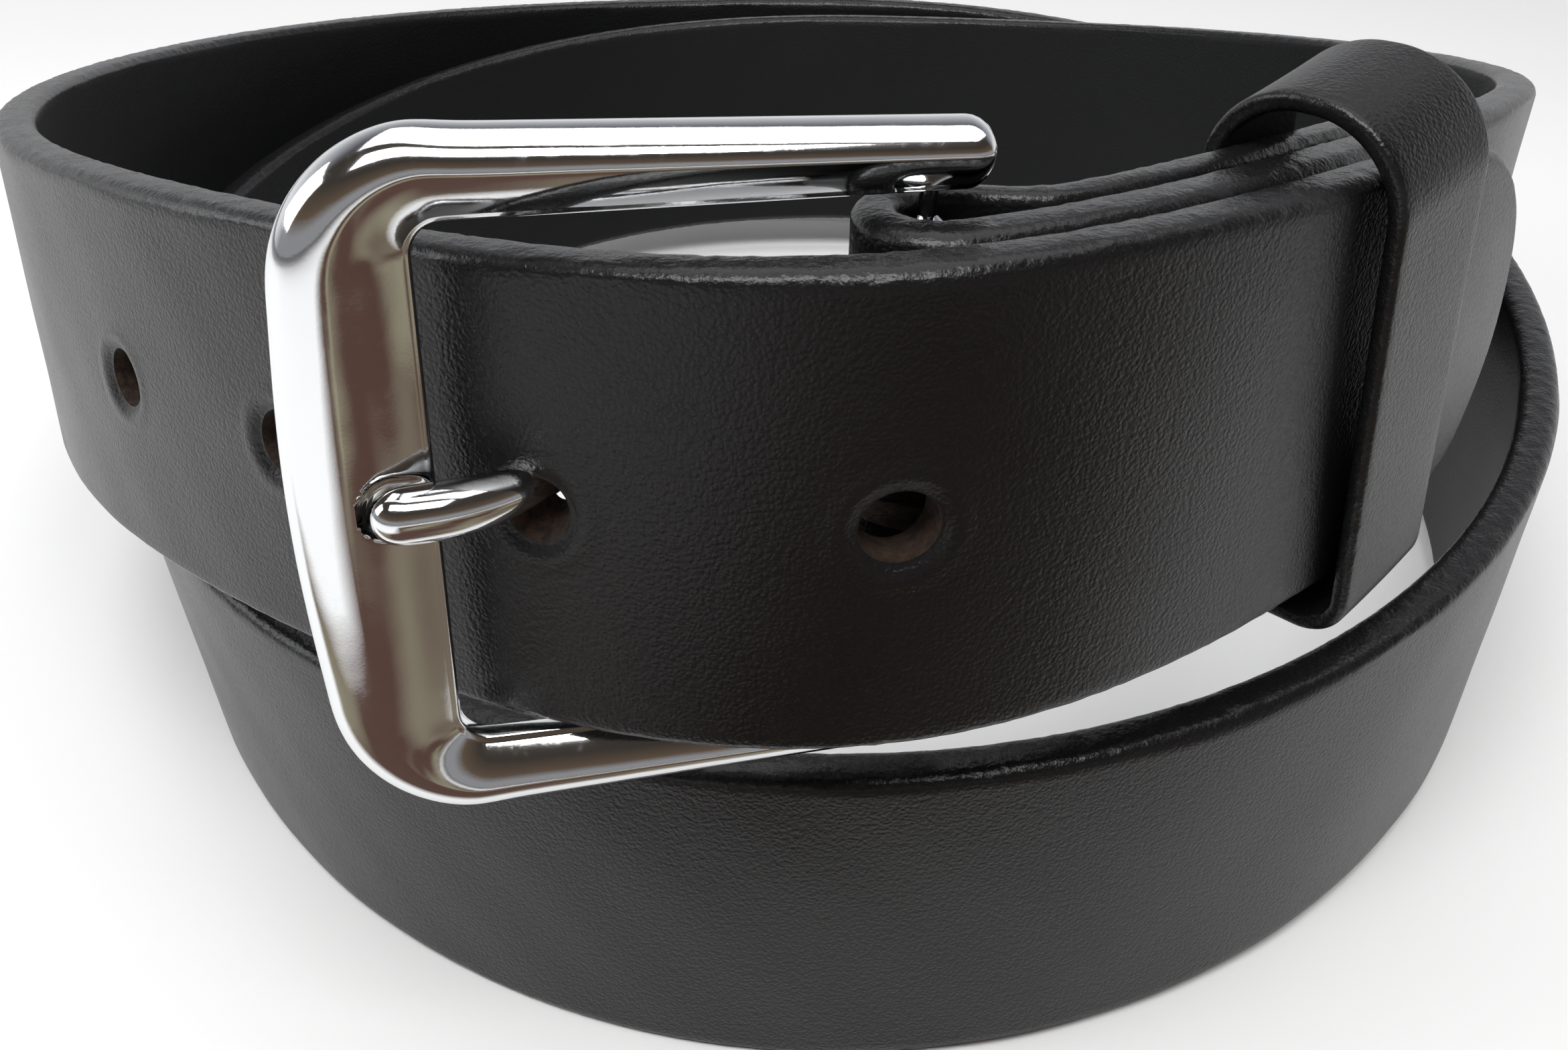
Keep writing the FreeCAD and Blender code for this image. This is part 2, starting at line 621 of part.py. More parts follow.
def main():
    parts = {
        "strap": build_strap(),
        "buckle_frame": build_buckle_frame(),
        "prong": build_prong(),
        "keeper_loop": build_keeper(),
        "keeper_staple": build_keeper_staple(),
        "screw_posts": build_screw_posts(),
        "screws": build_screws(),
    }
    os.makedirs("parts", exist_ok=True)
    for name, shape in parts.items():
        shape.exportStep("parts/" + name + ".step")


main()
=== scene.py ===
"""Looks of the coiled leather belt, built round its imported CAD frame.

The belt's lengths are in millimetres in the CAD part's own frame and become metres when a
mesh is made; the stage's are in metres.  The strap is one ribbon described by a coil angle,
as in the CAD: 0 is the buckle at the upper front, half a turn is the back, and at two turns
the ribbon passes over its own folded end and becomes the tail.
"""

import math

import bmesh
import bpy
import numpy as np
from mathutils import Euler, Matrix, Vector


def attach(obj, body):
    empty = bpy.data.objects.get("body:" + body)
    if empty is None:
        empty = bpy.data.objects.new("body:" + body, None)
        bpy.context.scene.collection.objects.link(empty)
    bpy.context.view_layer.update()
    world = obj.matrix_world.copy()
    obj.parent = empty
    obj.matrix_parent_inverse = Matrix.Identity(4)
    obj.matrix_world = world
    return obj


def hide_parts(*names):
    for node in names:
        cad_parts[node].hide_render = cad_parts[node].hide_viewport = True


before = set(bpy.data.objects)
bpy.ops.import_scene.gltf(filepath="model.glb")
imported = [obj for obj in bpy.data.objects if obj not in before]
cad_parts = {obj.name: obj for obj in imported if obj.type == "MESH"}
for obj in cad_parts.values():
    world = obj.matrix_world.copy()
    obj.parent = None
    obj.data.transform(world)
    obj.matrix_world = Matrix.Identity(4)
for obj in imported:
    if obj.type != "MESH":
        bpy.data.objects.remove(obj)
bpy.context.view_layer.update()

MM = 0.001
TURN = 2.0 * math.pi
UPPER_FRONT = 2.0 * TURN

# ---- strap ---------------------------------------------------------------------------
STRAP_WIDTH = 38.0
STRAP_THICK = 4.2
TURNBACK_THICK = 3.0
EDGE_ROUND = 1.35             # radius of the rounded edges
CREASE_ANGLE = math.radians(16.0)
HOLE_RADIUS = 2.8
HOLE_PITCH = 26.0
HOLES_TOWARDS_TIP = 1
HOLES_AWAY_FROM_TIP = 2
PRONG_HOLE_X = -18.89
# The prong's own hole, outside and inside.  It narrows to less than the prong's 1.35, so the
# prong cuts into its wall: this hides the floor behind, and the CAD hole is straight.
PRONG_HOLE_RADII = 2.7, 1.0
RIM_DIP, RIM_SPREAD = 0.42, 0.6   # the leather dips into a hole, over this distance
RIM_SWELL = (0.10, 1.5, 0.6)      # and swells round the dip: how high, how far off, how wide
INSIDE_DIP_SHARE = -0.4           # on the inner face the rim stands up, by less
HOLE_RINGS, RING_CROWDING = 12, 1.8
WALL_ROWS = 9
HOLE_SEARCH = (-1.6, 0.9)         # coil angles between which the holes lie, 0 at the buckle
HOLE_SEARCH_STEPS = 5001
SLOT_HALF_LENGTH, SLOT_HALF_HEIGHT = 11.9, 3.6
SLOT_MARGIN = 3.0
GRID_STEP = 0.8
FACE_COLUMNS = 44
BLOCK = 8                         # half width of the square of the grid that an opening replaces
EDGE_STEPS, EDGE_CROWN = 7, 0.06
EDGE_BUMP = 0.05
TIP_ROWS = 36
TURNBACK_ROWS, FOLD_ROWS, MAIN_ROWS = 60, 40, 2600
WAVE_HEIGHT = 0.07

FACE_HALF = FACE_COLUMNS * GRID_STEP / 2.0

COIL_CENTRE = (7.04, 23.77)
COIL_SHIFT = (0.71, 3.15)     # half the offset between the upper and the lower wind
COIL_RADIUS = (82.3, 107.2)
STRAND_STEP = (6.0, 8.6)      # half the distance between the inside and outside strand
EGG_FRONT, EGG_OVAL, EGG_SIDE, EGG_SKEW = 0.195, -0.063, -0.055, -0.013
RIGHT_SWELL = (2.6, 1.5, 0.6)  # the upper wind swells: by how much, where, over what angle
LEFT_SWELL = (4.8, -1.5, 0.6)
UPPER_RISE, RISE_POWER, BACK_RISE = 48.0, 1.44, 5.8
SIDE_TILT, TABLE_LIFT = 0.8, -0.1
LEAN_MEAN, LEAN_FRONT, LEAN_WIND, LEAN_SIDE = 6.5, -5.9, -3.5, 3.4
BULGE = (15.0, -0.043, 0.338)  # the tail bulges forward over the folded end
BUCKLE_ROLL, BUCKLE_ROLL_SPREAD = 1.2, 0.5
LAYER_GAP = 0.35
FOLD_ANGLE = 0.043
TIP_ANGLE, TIP_LENGTH = 0.74, 24.0
TURNBACK_ANGLE, TURNBACK_CLOSE = 0.76, 0.14
MAIN_FADE = (0.86, 1.8)
HEEL_RADIUS, HEEL_FIT, HEEL_ROOT = 2.2, 0.12, 0.3
HEEL_SHOULDER, HEEL_NECK = 3.6, 2.4   # unlike the CAD bar, it thins towards its roots
HEEL_END_SHARE, HEEL_END_SUNK = 0.32, 1.45

# ---- buckle frame, in its own plane: u to the heel bar, v up, n outwards ----------------
FRAME_INNER_LENGTH = 34.8
FRAME_INNER_HEIGHT = 40.6
FRAME_DROP = 0.8
FRONT_BAR = 9.3
SIDE_BAR_FRONT, SIDE_BAR_TIP = 6.5, 4.8
FRAME_TIP = 3.8
FRAME_THICK = 4.8
FRAME_CORNER, FRAME_INNER_CORNER = 11.0, 2.2
FRAME_BOW = 0.8
FRAME_TURN = math.radians(4.5)
BEVEL_HOLLOW = 0.6            # how much the inner bevel curves
LIP_ROUND = 0.45
SIDE_LEVEL, LIP_LEVEL, BACK_LIP_LEVEL = -0.7, 0.45, -1.1   # heights of a bar's section
RIDGE_SHARE = 0.42            # the ridge stands this share of the way across a bar
BACK_EDGE, BACK_EDGE_DROP, BACK_FLAT = 0.9, 0.15, 1.4
BACK_ROUND = 1.3
NOTCH_RADIUS, NOTCH_LENGTH, NOTCH_CENTRE = 2.6, 5.4, 2.6   # seat for the prong's tip
NOTCH_BLEND = 0.35
NO_NOTCH = 9.0                # a height above every bar
TIP_CAP = 1.7                 # the side bars round off over this length at their tips
TIP_CAP_ROWS = 12
TIP_CAP_SMALLEST, TIP_CAP_MIDDLE = 0.02, 0.35
BORDER_SOFTENING = 4
SIDE_STATIONS, CORNER_STATIONS, FRONT_STATIONS = 90, 50, 110
BAR_SIDES = 48

# ---- prong -----------------------------------------------------------------------------
PRONG_PATH = ((0.0, 3.35), (-6.0, 2.7), (-12.0, 1.6), (-18.0, -1.6), (-22.0, -3.0), (-24.6, -2.7),
              (-27.0, -1.0), (-29.8, 1.0), (-33.4, 2.3), (-36.8, 2.8), (-39.4, 2.8))
PRONG_RADIUS, PRONG_TIP_RADIUS = 1.35, 2.05
PRONG_EYE_WIDTH, PRONG_EYE_THICK = 5.4, 1.9
PRONG_EYE_GAP = 0.15          # between the heel bar and the eye bent round it
PRONG_EYE_WRAP = math.radians(285)
PRONG_STATIONS, PRONG_SHANK_STATIONS, PRONG_SIDES = 260, 170, 40
PRONG_STRAIGHT = 43.0         # length of the prong past its eye
PRONG_ROUNDING = (1.0, 9.0)   # past the eye the flat band turns round: from where, over what
PRONG_SWELL = (14.0, 9.0)     # and swells to the tip: from how far off, over what length
PRONG_NOSE, PRONG_START = 2.3, 0.8   # lengths of the rounded ends

# ---- keeper ----------------------------------------------------------------------------
KEEPER_ANGLE = 0.458
KEEPER_TILT = math.radians(-6.5)
KEEPER_BAND = 13.6
KEEPER_THICK = 1.6
KEEPER_SIDE_GAP, KEEPER_TOP_GAP, KEEPER_BOTTOM_GAP = 1.2, 4.8, 2.3
KEEPER_TURN_RADIUS = 209.4    # the strap's own curve where the keeper slides
KEEPER_CORNER, KEEPER_ARCH_FLAT, KEEPER_EDGE = 3.0, 0.4, 0.6
KEEPER_INSIDE = -0.2          # the band is flesh side below this distance from its middle


def smooth(t):
    t = min(1.0, max(0.0, t))
    return t * t * (3.0 - 2.0 * t)


# ---- coil geometry ---------------------------------------------------------------------
def wound(phi):
    """Coil angle measured from the upper front, between minus and plus one turn."""
    return (phi + TURN) % (2.0 * TURN) - TURN


def swelling(phi, height, angle, spread):
    """A smooth swelling of the upper wind round one coil angle."""
    return height * math.exp(-0.5 * ((wound(phi) - angle) / spread) ** 2)


def coil_line(phi):
    """Outer face of the ribbon in plan."""
    sine, cosine = math.sin(phi), math.cos(phi)
    half_sine, half_cosine = math.sin(phi / 2.0), math.cos(phi / 2.0)
    egg = (1.0 + EGG_FRONT * cosine + EGG_OVAL * math.cos(2.0 * phi) + EGG_SIDE * sine
           + EGG_SKEW * math.sin(2.0 * phi))
    radius_x = (COIL_RADIUS[0] - STRAND_STEP[0] * half_sine) * egg
    radius_y = (COIL_RADIUS[1] - STRAND_STEP[1] * half_sine) * egg
    sideways = swelling(phi, *RIGHT_SWELL) - swelling(phi, *LEFT_SWELL)
    x = COIL_CENTRE[0] + COIL_SHIFT[0] * half_cosine + radius_x * sine + sideways
    y = COIL_CENTRE[1] + COIL_SHIFT[1] * half_cosine - radius_y * cosine - swelling(phi, *BULGE)
    return Vector((x, y, 0.0))


def lean_angle(phi):
    front = (1.0 + math.cos(phi)) / 2.0
    half_sine, half_cosine = math.sin(phi / 2.0), math.cos(phi / 2.0)
    lean = LEAN_MEAN + (LEAN_WIND * half_cosine + LEAN_FRONT) * front + LEAN_SIDE * half_sine
    return math.radians(lean)


def middle_height(phi):
    turn = wound(phi)
    lift = 0.0
    if abs(turn) < math.pi:
        lift = UPPER_RISE * ((1.0 + math.cos(turn)) / 2.0) ** RISE_POWER
    back = BACK_RISE * (1.0 - math.cos(phi)) / 2.0
    half = (STRAP_WIDTH / 2.0) * math.cos(lean_angle(phi))
    return half + lift + back + SIDE_TILT * math.sin(phi) + TABLE_LIFT


class Station:
    """A place on the ribbon: a point at some depth and the directions along, out and up."""

    def __init__(self, phi, depth=0.0):
        step = 0.001
        level = (coil_line(phi + step) - coil_line(phi - step)).normalized()
        level_out = Vector((level.y, -level.x, 0.0))
        vertical = Vector((0.0, 0.0, 1.0))
        lean = lean_angle(phi)
        roll = math.radians(BUCKLE_ROLL) * math.exp(-((wound(phi) / BUCKLE_ROLL_SPREAD) ** 2))
        straight_up = level_out * math.sin(lean) + vertical * math.cos(lean)
        self.out = level_out * math.cos(lean) - vertical * math.sin(lean)
        self.up = straight_up * math.cos(roll) + level * math.sin(roll)
        self.along = self.up.cross(self.out)
        self.point = coil_line(phi) + vertical * middle_height(phi) - self.out * depth

    def at(self, along=0.0, up=0.0, out=0.0):
        return self.point + self.along * along + self.up * up + self.out * out


def main_depth(phi):
    start, end = MAIN_FADE
    return (STRAP_THICK + LAYER_GAP) * (1.0 - smooth((phi - start) / (end - start)))


def turnback_depth(phi):
    closing = 1.0 - smooth((phi - FOLD_ANGLE) / TURNBACK_CLOSE)
    gap = LAYER_GAP + (2.0 * (HEEL_RADIUS + HEEL_FIT) - LAYER_GAP) * closing
    return main_depth(phi) + STRAP_THICK + gap + TURNBACK_THICK / 2.0


HEEL_AXIS = Station(FOLD_ANGLE, main_depth(FOLD_ANGLE) + STRAP_THICK + HEEL_FIT + HEEL_RADIUS)


def hole_angles():
    """Coil angles of the size holes, from the one nearest the tip, and the prong's own hole."""
    phis = np.linspace(*HOLE_SEARCH, HOLE_SEARCH_STEPS)
    line = np.array([coil_line(phi) for phi in phis])
    length = np.concatenate([[0.0], np.cumsum(np.linalg.norm(np.diff(line, axis=0), axis=1))])
    prong_hole = np.interp(np.interp(PRONG_HOLE_X, line[:, 0], phis), phis, length)
    steps = range(HOLES_TOWARDS_TIP, -HOLES_AWAY_FROM_TIP - 1, -1)
    angles = [UPPER_FRONT + np.interp(prong_hole + n * HOLE_PITCH, length, phis) for n in steps]
    return sorted(angles), angles[HOLES_TOWARDS_TIP]


# ---- the ribbon as a table of frames at even steps of length -------------------------------
class Ribbon:
    """Middle point, up and out directions and thickness at every length along the strap."""

    STEP = 0.4

    def __init__(self):
        rows = []
        for phi in np.linspace(TURNBACK_ANGLE, FOLD_ANGLE, TURNBACK_ROWS):
            station = Station(phi, turnback_depth(phi))
            rows.append((station.point, station.up, -station.out, TURNBACK_THICK, 0.0))
        for turn in np.linspace(0.0, math.pi, FOLD_ROWS)[1:-1]:
            thick = TURNBACK_THICK + (STRAP_THICK - TURNBACK_THICK) * smooth(turn / math.pi)
            outward = HEEL_AXIS.out * -math.cos(turn) - HEEL_AXIS.along * math.sin(turn)
            centre = HEEL_AXIS.point + outward * (HEEL_RADIUS + HEEL_FIT + thick / 2.0)
            rows.append((centre, HEEL_AXIS.up, outward, thick, 0.0))
        main_row = len(rows)
        for phi in np.linspace(FOLD_ANGLE, UPPER_FRONT + TIP_ANGLE, MAIN_ROWS):
            station = Station(phi, main_depth(phi) + STRAP_THICK / 2.0)
            rows.append((station.point, station.up, station.out, STRAP_THICK, phi))
        points = np.array([r[0] for r in rows])
        length = np.concatenate([[0.0], np.cumsum(np.linalg.norm(np.diff(points, axis=0), axis=1))])
        self.total = length[-1]
        self.fold_middle = (length[TURNBACK_ROWS - 1] + length[main_row]) / 2.0
        self.main_length = length[main_row:]
        self.main_phi = np.array([r[4] for r in rows[main_row:]])
        self.s = np.linspace(0.0, self.total, int(self.total / self.STEP) + 1)
        self.point = self.resample(length, points)
        self.up = self.resample(length, np.array([r[1] for r in rows]))
        self.out = self.resample(length, np.array([r[2] for r in rows]))
        self.thick = np.interp(self.s, length, [r[3] for r in rows])

    def resample(self, length, values):
        return np.stack([np.interp(self.s, length, values[:, i]) for i in range(3)], axis=1)

    def length_at(self, phi):
        return float(np.interp(phi, self.main_phi, self.main_length))

    def place(self, s, across, depth):
        """Points in metres from length along, height across and depth below the outer face."""
        s, across, depth = np.broadcast_arrays(s, across, depth)

        def look_up(table):
            return np.stack([np.interp(s, self.s, table[:, i]) for i in range(3)], axis=-1)

        thick = np.interp(s, self.s, self.thick)
        out = look_up(self.out)
        out /= np.linalg.norm(out, axis=-1)[..., None]
        height = thick / 2.0 - depth * thick / STRAP_THICK
        beyond = np.maximum(s - self.total, 0.0)
        ahead = self.point[-1] - self.point[-2]
        ahead = ahead / np.linalg.norm(ahead)
        here = look_up(self.point) + look_up(self.up) * across[..., None]
        return here + out * height[..., None] + beyond[..., None] * ahead


# ---- meshes ----------------------------------------------------------------------------------
class MeshMaker:
    """Collects vertices with their masks and faces, then makes one object from those used."""

    def __init__(self):
        self.points, self.masks, self.faces = [], [], []
        self.count = 0

    def add(self, points, masks=(0.0, 0.0, 0.0)):
        """Points in millimetres in any array shape; returns their numbers in that shape.

        The masks say how much a point is burnished edge, raw leather and inner face.
        """
        shape = points.shape[:-1]
        number = int(np.prod(shape))
        self.points.append(points.reshape(-1, 3))
        self.masks.append(np.broadcast_to(masks, shape + (3,)).reshape(-1, 3))
        self.count += number
        return np.arange(self.count - number, self.count).reshape(shape)

    def quads(self, grid, keep=None):
        corners = np.stack([grid[:-1, :-1], grid[1:, :-1], grid[1:, 1:], grid[:-1, 1:]], axis=-1)
        if keep is not None:
            corners = corners[keep]
        self.faces += corners.reshape(-1, 4).tolist()

    def face(self, loop):
        self.faces.append(list(loop))

    def make(self, name, material, merge=0.004, sharp=50.0):
        faces = [list(dict.fromkeys(f)) for f in self.faces]
        used = np.unique(np.concatenate([np.array(f) for f in faces]))
        renumber = np.zeros(self.count, np.int64)
        renumber[used] = np.arange(len(used))
        mesh = bpy.data.meshes.new(name)
        points = np.concatenate(self.points)[used] * MM
        mesh.from_pydata(points.tolist(), [], [renumber[f].tolist() for f in faces])
        masks = mesh.attributes.new("masks", "FLOAT_VECTOR", "POINT")
        masks.data.foreach_set("vector", np.concatenate(self.masks)[used].astype(np.float32).ravel())
        editable = bmesh.new()
        editable.from_mesh(mesh)
        bmesh.ops.remove_doubles(editable, verts=editable.verts, dist=merge * MM)
        bmesh.ops.recalc_face_normals(editable, faces=editable.faces)
        editable.to_mesh(mesh)
        editable.free()
        mesh.shade_smooth()
        mesh.set_sharp_from_angle(angle=math.radians(sharp))
        mesh.materials.append(material)
        piece = bpy.data.objects.new(name, mesh)
        bpy.context.scene.collection.objects.link(piece)
        return piece


def edge_profile(thick, radius):
    """Lateral reach and depth round a strap edge, from the face's crease to the other face's."""
    reach, depth = [], []
    for angle in np.linspace(CREASE_ANGLE, math.pi / 2.0, EDGE_STEPS):
        reach.append(radius * math.sin(angle))
        depth.append(radius * (math.cos(CREASE_ANGLE) - math.cos(angle)))
    reach = np.array(reach) - reach[0]
    depth = np.array(depth)
    reach = np.concatenate([reach, [reach[-1] + EDGE_CROWN], reach[::-1]])
    depth = np.concatenate([depth, [thick / 2.0], thick - depth[::-1]])
    return reach, depth


def strap_rows(ribbon, centres, tip_start):
    """Row lengths with a row exactly on every hole's middle, and closer rows round the tip."""
    rows = [0.0]
    for stop in list(centres) + [tip_start]:
        count = max(1, round((stop - rows[-1]) / GRID_STEP))
        rows += np.linspace(rows[-1], stop, count + 1)[1:].tolist()
    quarter = np.linspace(0.0, math.pi / 2.0, TIP_ROWS)[1:]
    rows += (tip_start + (ribbon.total - EDGE_ROUND - tip_start) * np.sin(quarter)).tolist()
    return np.array(rows)


def tip_outline(s, tip_start, end):
    """Half height of the face and the outward direction of its border, at each row."""
    share = np.clip((s - tip_start) / (end - tip_start), 0.0, 1.0)
    rest = np.sqrt(np.maximum(1.0 - share ** 2, 1e-8))
    half = FACE_HALF * rest
    slope = FACE_HALF * share / rest / (end - tip_start)
    border = np.stack([slope, np.ones_like(s)], axis=1)
    return half, border / np.linalg.norm(border, axis=1)[:, None]


def waves(s, across):
    """Slight unevenness of the leather's surface: three crossed waves, in radians per millimetre."""
    return WAVE_HEIGHT * (np.sin(s * 0.071 + 0.9) * np.cos(across * 0.14 + s * 0.023)
                          + 0.6 * np.sin(s * 0.19 - across * 0.11 + 2.0)
                          + 0.3 * np.sin(s * 0.43 + across * 0.37))


def edge_bumps(along, depths):
    """Fine roughness of the burnished edges."""
    return EDGE_BUMP * np.sin(along * 2.3 + 4.0 * np.sin(along * 0.61)) * np.sin(depths * 2.2 + along)


def rim_dip(away):
    """How far the face dips at some distance from a hole's edge."""
    height, distance, spread = RIM_SWELL
    return (RIM_DIP * np.exp(-((away / RIM_SPREAD) ** 2))
            - height * np.exp(-(((away - distance) / spread) ** 2)))


def strap_surface(ribbon, rows, across, depth, inside):
    """Points on the outer or the inner face, with its slight waves."""
    return ribbon.place(rows, across, depth + waves(rows, across) * (-1.0 if inside else 1.0))


def strap_openings(ribbon):
    """The prong's slot and the holes: middle, half the rows replaced, straight half length, radii."""
    angles, prong_hole = hole_angles()
    slot_rows = round((SLOT_HALF_LENGTH + SLOT_MARGIN) / GRID_STEP)
    slot_radii = (SLOT_HALF_HEIGHT, SLOT_HALF_HEIGHT)
    openings = [(ribbon.fold_middle, slot_rows, SLOT_HALF_LENGTH - SLOT_HALF_HEIGHT, slot_radii)]
    for phi in angles:
        radii = PRONG_HOLE_RADII if phi == prong_hole else (HOLE_RADIUS, HOLE_RADIUS)
        openings.append((ribbon.length_at(phi), BLOCK, 0.0, radii))
    return openings


def block_border(row, block_rows):
    """Grid places round the block that an opening replaces."""
    first_row, last_row = row - block_rows, row + block_rows
    first, last = FACE_COLUMNS // 2 - BLOCK, FACE_COLUMNS // 2 + BLOCK
    return ([(r, first) for r in range(first_row, last_row)]
            + [(last_row, c) for c in range(first, last)]
            + [(r, last) for r in range(last_row, first_row, -1)]
            + [(first_row, c) for c in range(last, first, -1)])


def open_face(maker, ribbon, s, across, grid, opening, depth, inside):
    """Rings of faces from the border of a block to the edge of its hole; returns that edge."""
    centre, block_rows, straight, radii = opening
    trip = block_border(int(np.argmin(abs(s - centre))), block_rows)
    outer = np.array([(s[r] - centre, across[r, c]) for r, c in trip])
    core = np.clip(outer[:, 0], -straight, straight)
    core = np.stack([core, np.zeros(len(core))], axis=1)
    ray = outer - core
    ray /= np.linalg.norm(ray, axis=1)[:, None]
    inner = core + ray * radii[inside]
    previous = grid[[r for r, c in trip], [c for r, c in trip]]
    for ring in range(1, HOLE_RINGS + 1):
        share = 1.0 - (1.0 - ring / HOLE_RINGS) ** RING_CROWDING
        spot = outer * (1.0 - share) + inner * share
        dip = rim_dip(np.linalg.norm(spot - inner, axis=1))
        below = depth + dip * (INSIDE_DIP_SHARE if inside else 1.0)
        points = strap_surface(ribbon, spot[:, 0] + centre, spot[:, 1], below, inside)
        raw = 0.5 if ring == HOLE_RINGS else 0.0
        current = maker.add(points, (0.0, raw, 1.0 if inside else 0.0))
        band = np.stack([np.append(previous, previous[0]), np.append(current, current[0])])
        maker.quads(band)
        previous = current
    return previous, inner, centre


def hole_wall(maker, ribbon, outer_edge, inner_edge):
    """The raw leather between the two edges of a hole."""
    first, outside, centre = outer_edge
    last, behind, _ = inner_edge
    walls = [first]
    for depth in np.linspace(0.0, STRAP_THICK, WALL_ROWS)[1:-1]:
        edge = outside + (behind - outside) * depth / STRAP_THICK
        flat_depth = np.full(len(edge), depth)
        points = strap_surface(ribbon, edge[:, 0] + centre, edge[:, 1], flat_depth, False)
        walls.append(maker.add(points, (0.0, 1.0, 0.0)))
    walls.append(last)
    tunnel = np.stack(walls)
    maker.quads(np.concatenate([tunnel, tunnel[:, :1]], axis=1))


def strap_edge(maker, ribbon, s, half, border, side, outer_border, inner_border):
    """One long rounded edge, between the borders of the two faces."""
    reach, depths = edge_profile(STRAP_THICK, EDGE_ROUND)
    along = s[:, None] + border[:, :1] * reach[None, 1:-1]
    up = side * (half[:, None] + border[:, 1:] * reach[None, 1:-1])
    depth = np.broadcast_to(depths[None, 1:-1], along.shape)
    points = ribbon.place(along, up + side * edge_bumps(along, depth), depth)
    middle = maker.add(points, (1.0, 0.0, 0.0))
    strip = np.concatenate([outer_border, middle, inner_border], axis=1)
    maker.quads(strip)
    return strip


def build_strap(material):
    ribbon = Ribbon()
    openings = strap_openings(ribbon)
    tip_start = ribbon.total - TIP_LENGTH
    s = strap_rows(ribbon, [opening[0] for opening in openings], tip_start)
    half, border = tip_outline(s, tip_start, ribbon.total - EDGE_ROUND)
    rows, columns = np.meshgrid(s, np.linspace(-1.0, 1.0, FACE_COLUMNS + 1), indexing="ij")
    across = columns * half[:, None]
    keep = np.ones((len(s) - 1, FACE_COLUMNS), bool)
    middle = FACE_COLUMNS // 2
    for centre, block_rows, _, _ in openings:
        row = int(np.argmin(abs(s - centre)))
        keep[row - block_rows:row + block_rows, middle - BLOCK:middle + BLOCK] = False

    maker = MeshMaker()
    grids, edges = [], []
    for depth, inside in ((0.0, False), (STRAP_THICK, True)):
        points = strap_surface(ribbon, rows, across, depth, inside)
        grid = maker.add(points, (0.0, 0.0, 1.0 if inside else 0.0))
        maker.quads(grid, keep)
        grids.append(grid)
        edges.append([open_face(maker, ribbon, s, across, grid, opening, depth, inside)
                      for opening in openings])
    for outer_edge, inner_edge in zip(*edges):
        hole_wall(maker, ribbon, outer_edge, inner_edge)

    outer, inner = grids
    top, bottom = [strap_edge(maker, ribbon, s, half, border, side, outer[:, [column]], inner[:, [column]])
                   for side, column in ((1, -1), (-1, 0))]
    maker.quads(np.stack([top[-1], bottom[-1]]))
    folded_end = np.concatenate([outer[0], top[0][1:-1], inner[0][::-1], bottom[0][1:-1][::-1]])
    maker.face(folded_end.tolist())
    return maker.make("strap_leather", material)


# ---- curves for the swept pieces ---------------------------------------------------------------
def rounded_loop(corners, radii, step=0.35):
    """Points of a closed outline through rounded corners, at about even steps, anticlockwise."""
    corners = [np.array(c, float) for c in corners]
    points = []
    count = len(corners)
    tangents = []
    for i, corner in enumerate(corners):
        before = corners[i - 1] - corner
        after = corners[(i + 1) % count] - corner
        before /= np.linalg.norm(before)
        after /= np.linalg.norm(after)
        half_angle = math.acos(float(np.clip(before @ after, -1.0, 1.0))) / 2.0
        bisector = (before + after) / np.linalg.norm(before + after)
        centre = corner + bisector * radii[i] / math.sin(half_angle)
        tangents.append((corner + before * radii[i] / math.tan(half_angle), centre,
                         corner + after * radii[i] / math.tan(half_angle)))
    for i in range(count):
        start, centre, end = tangents[i]
        a0 = math.atan2(*(start - centre)[::-1])
        turn = (math.atan2(*(end - centre)[::-1]) - a0 + math.pi) % TURN - math.pi
        pieces = max(3, int(abs(turn) * radii[i] / step))
        for t in np.linspace(0.0, 1.0, pieces + 1):
            points.append(centre + radii[i] * np.array([math.cos(a0 + turn * t), math.sin(a0 + turn * t)]))
        following = tangents[(i + 1) % count][0]
        pieces = max(1, int(np.linalg.norm(following - end) / step))
        for t in np.linspace(0.0, 1.0, pieces + 1)[1:-1]:
            points.append(end + (following - end) * t)
    return np.array(points)


def loop_normals(points):
    ahead = np.roll(points, -1, axis=0) - np.roll(points, 1, axis=0)
    ahead /= np.linalg.norm(ahead, axis=1)[:, None]
    return np.stack([ahead[:, 1], -ahead[:, 0]], axis=1)


def rounded_bar(width, thick, radius, count=5):
    """Cross-section of a flat band with rounded edges, as (across, through) points."""
    outline = []
    for sx, sy, start in ((1, 1, 0.0), (-1, 1, 0.5), (-1, -1, 1.0), (1, -1, 1.5)):
        for t in np.linspace(0.0, 0.5, count):
            angle = (start + t) * math.pi
            outline.append((sx * (width / 2.0 - radius) + radius * math.cos(angle),
                            sy * (thick / 2.0 - radius) + radius * math.sin(angle)))
        if sx * sy > 0:
            for t in np.linspace(0.0, 1.0, 14)[1:-1]:
                outline.append((sx * (width / 2.0 - radius) * (1.0 - 2.0 * t), sy * thick / 2.0))
    return np.array(outline)


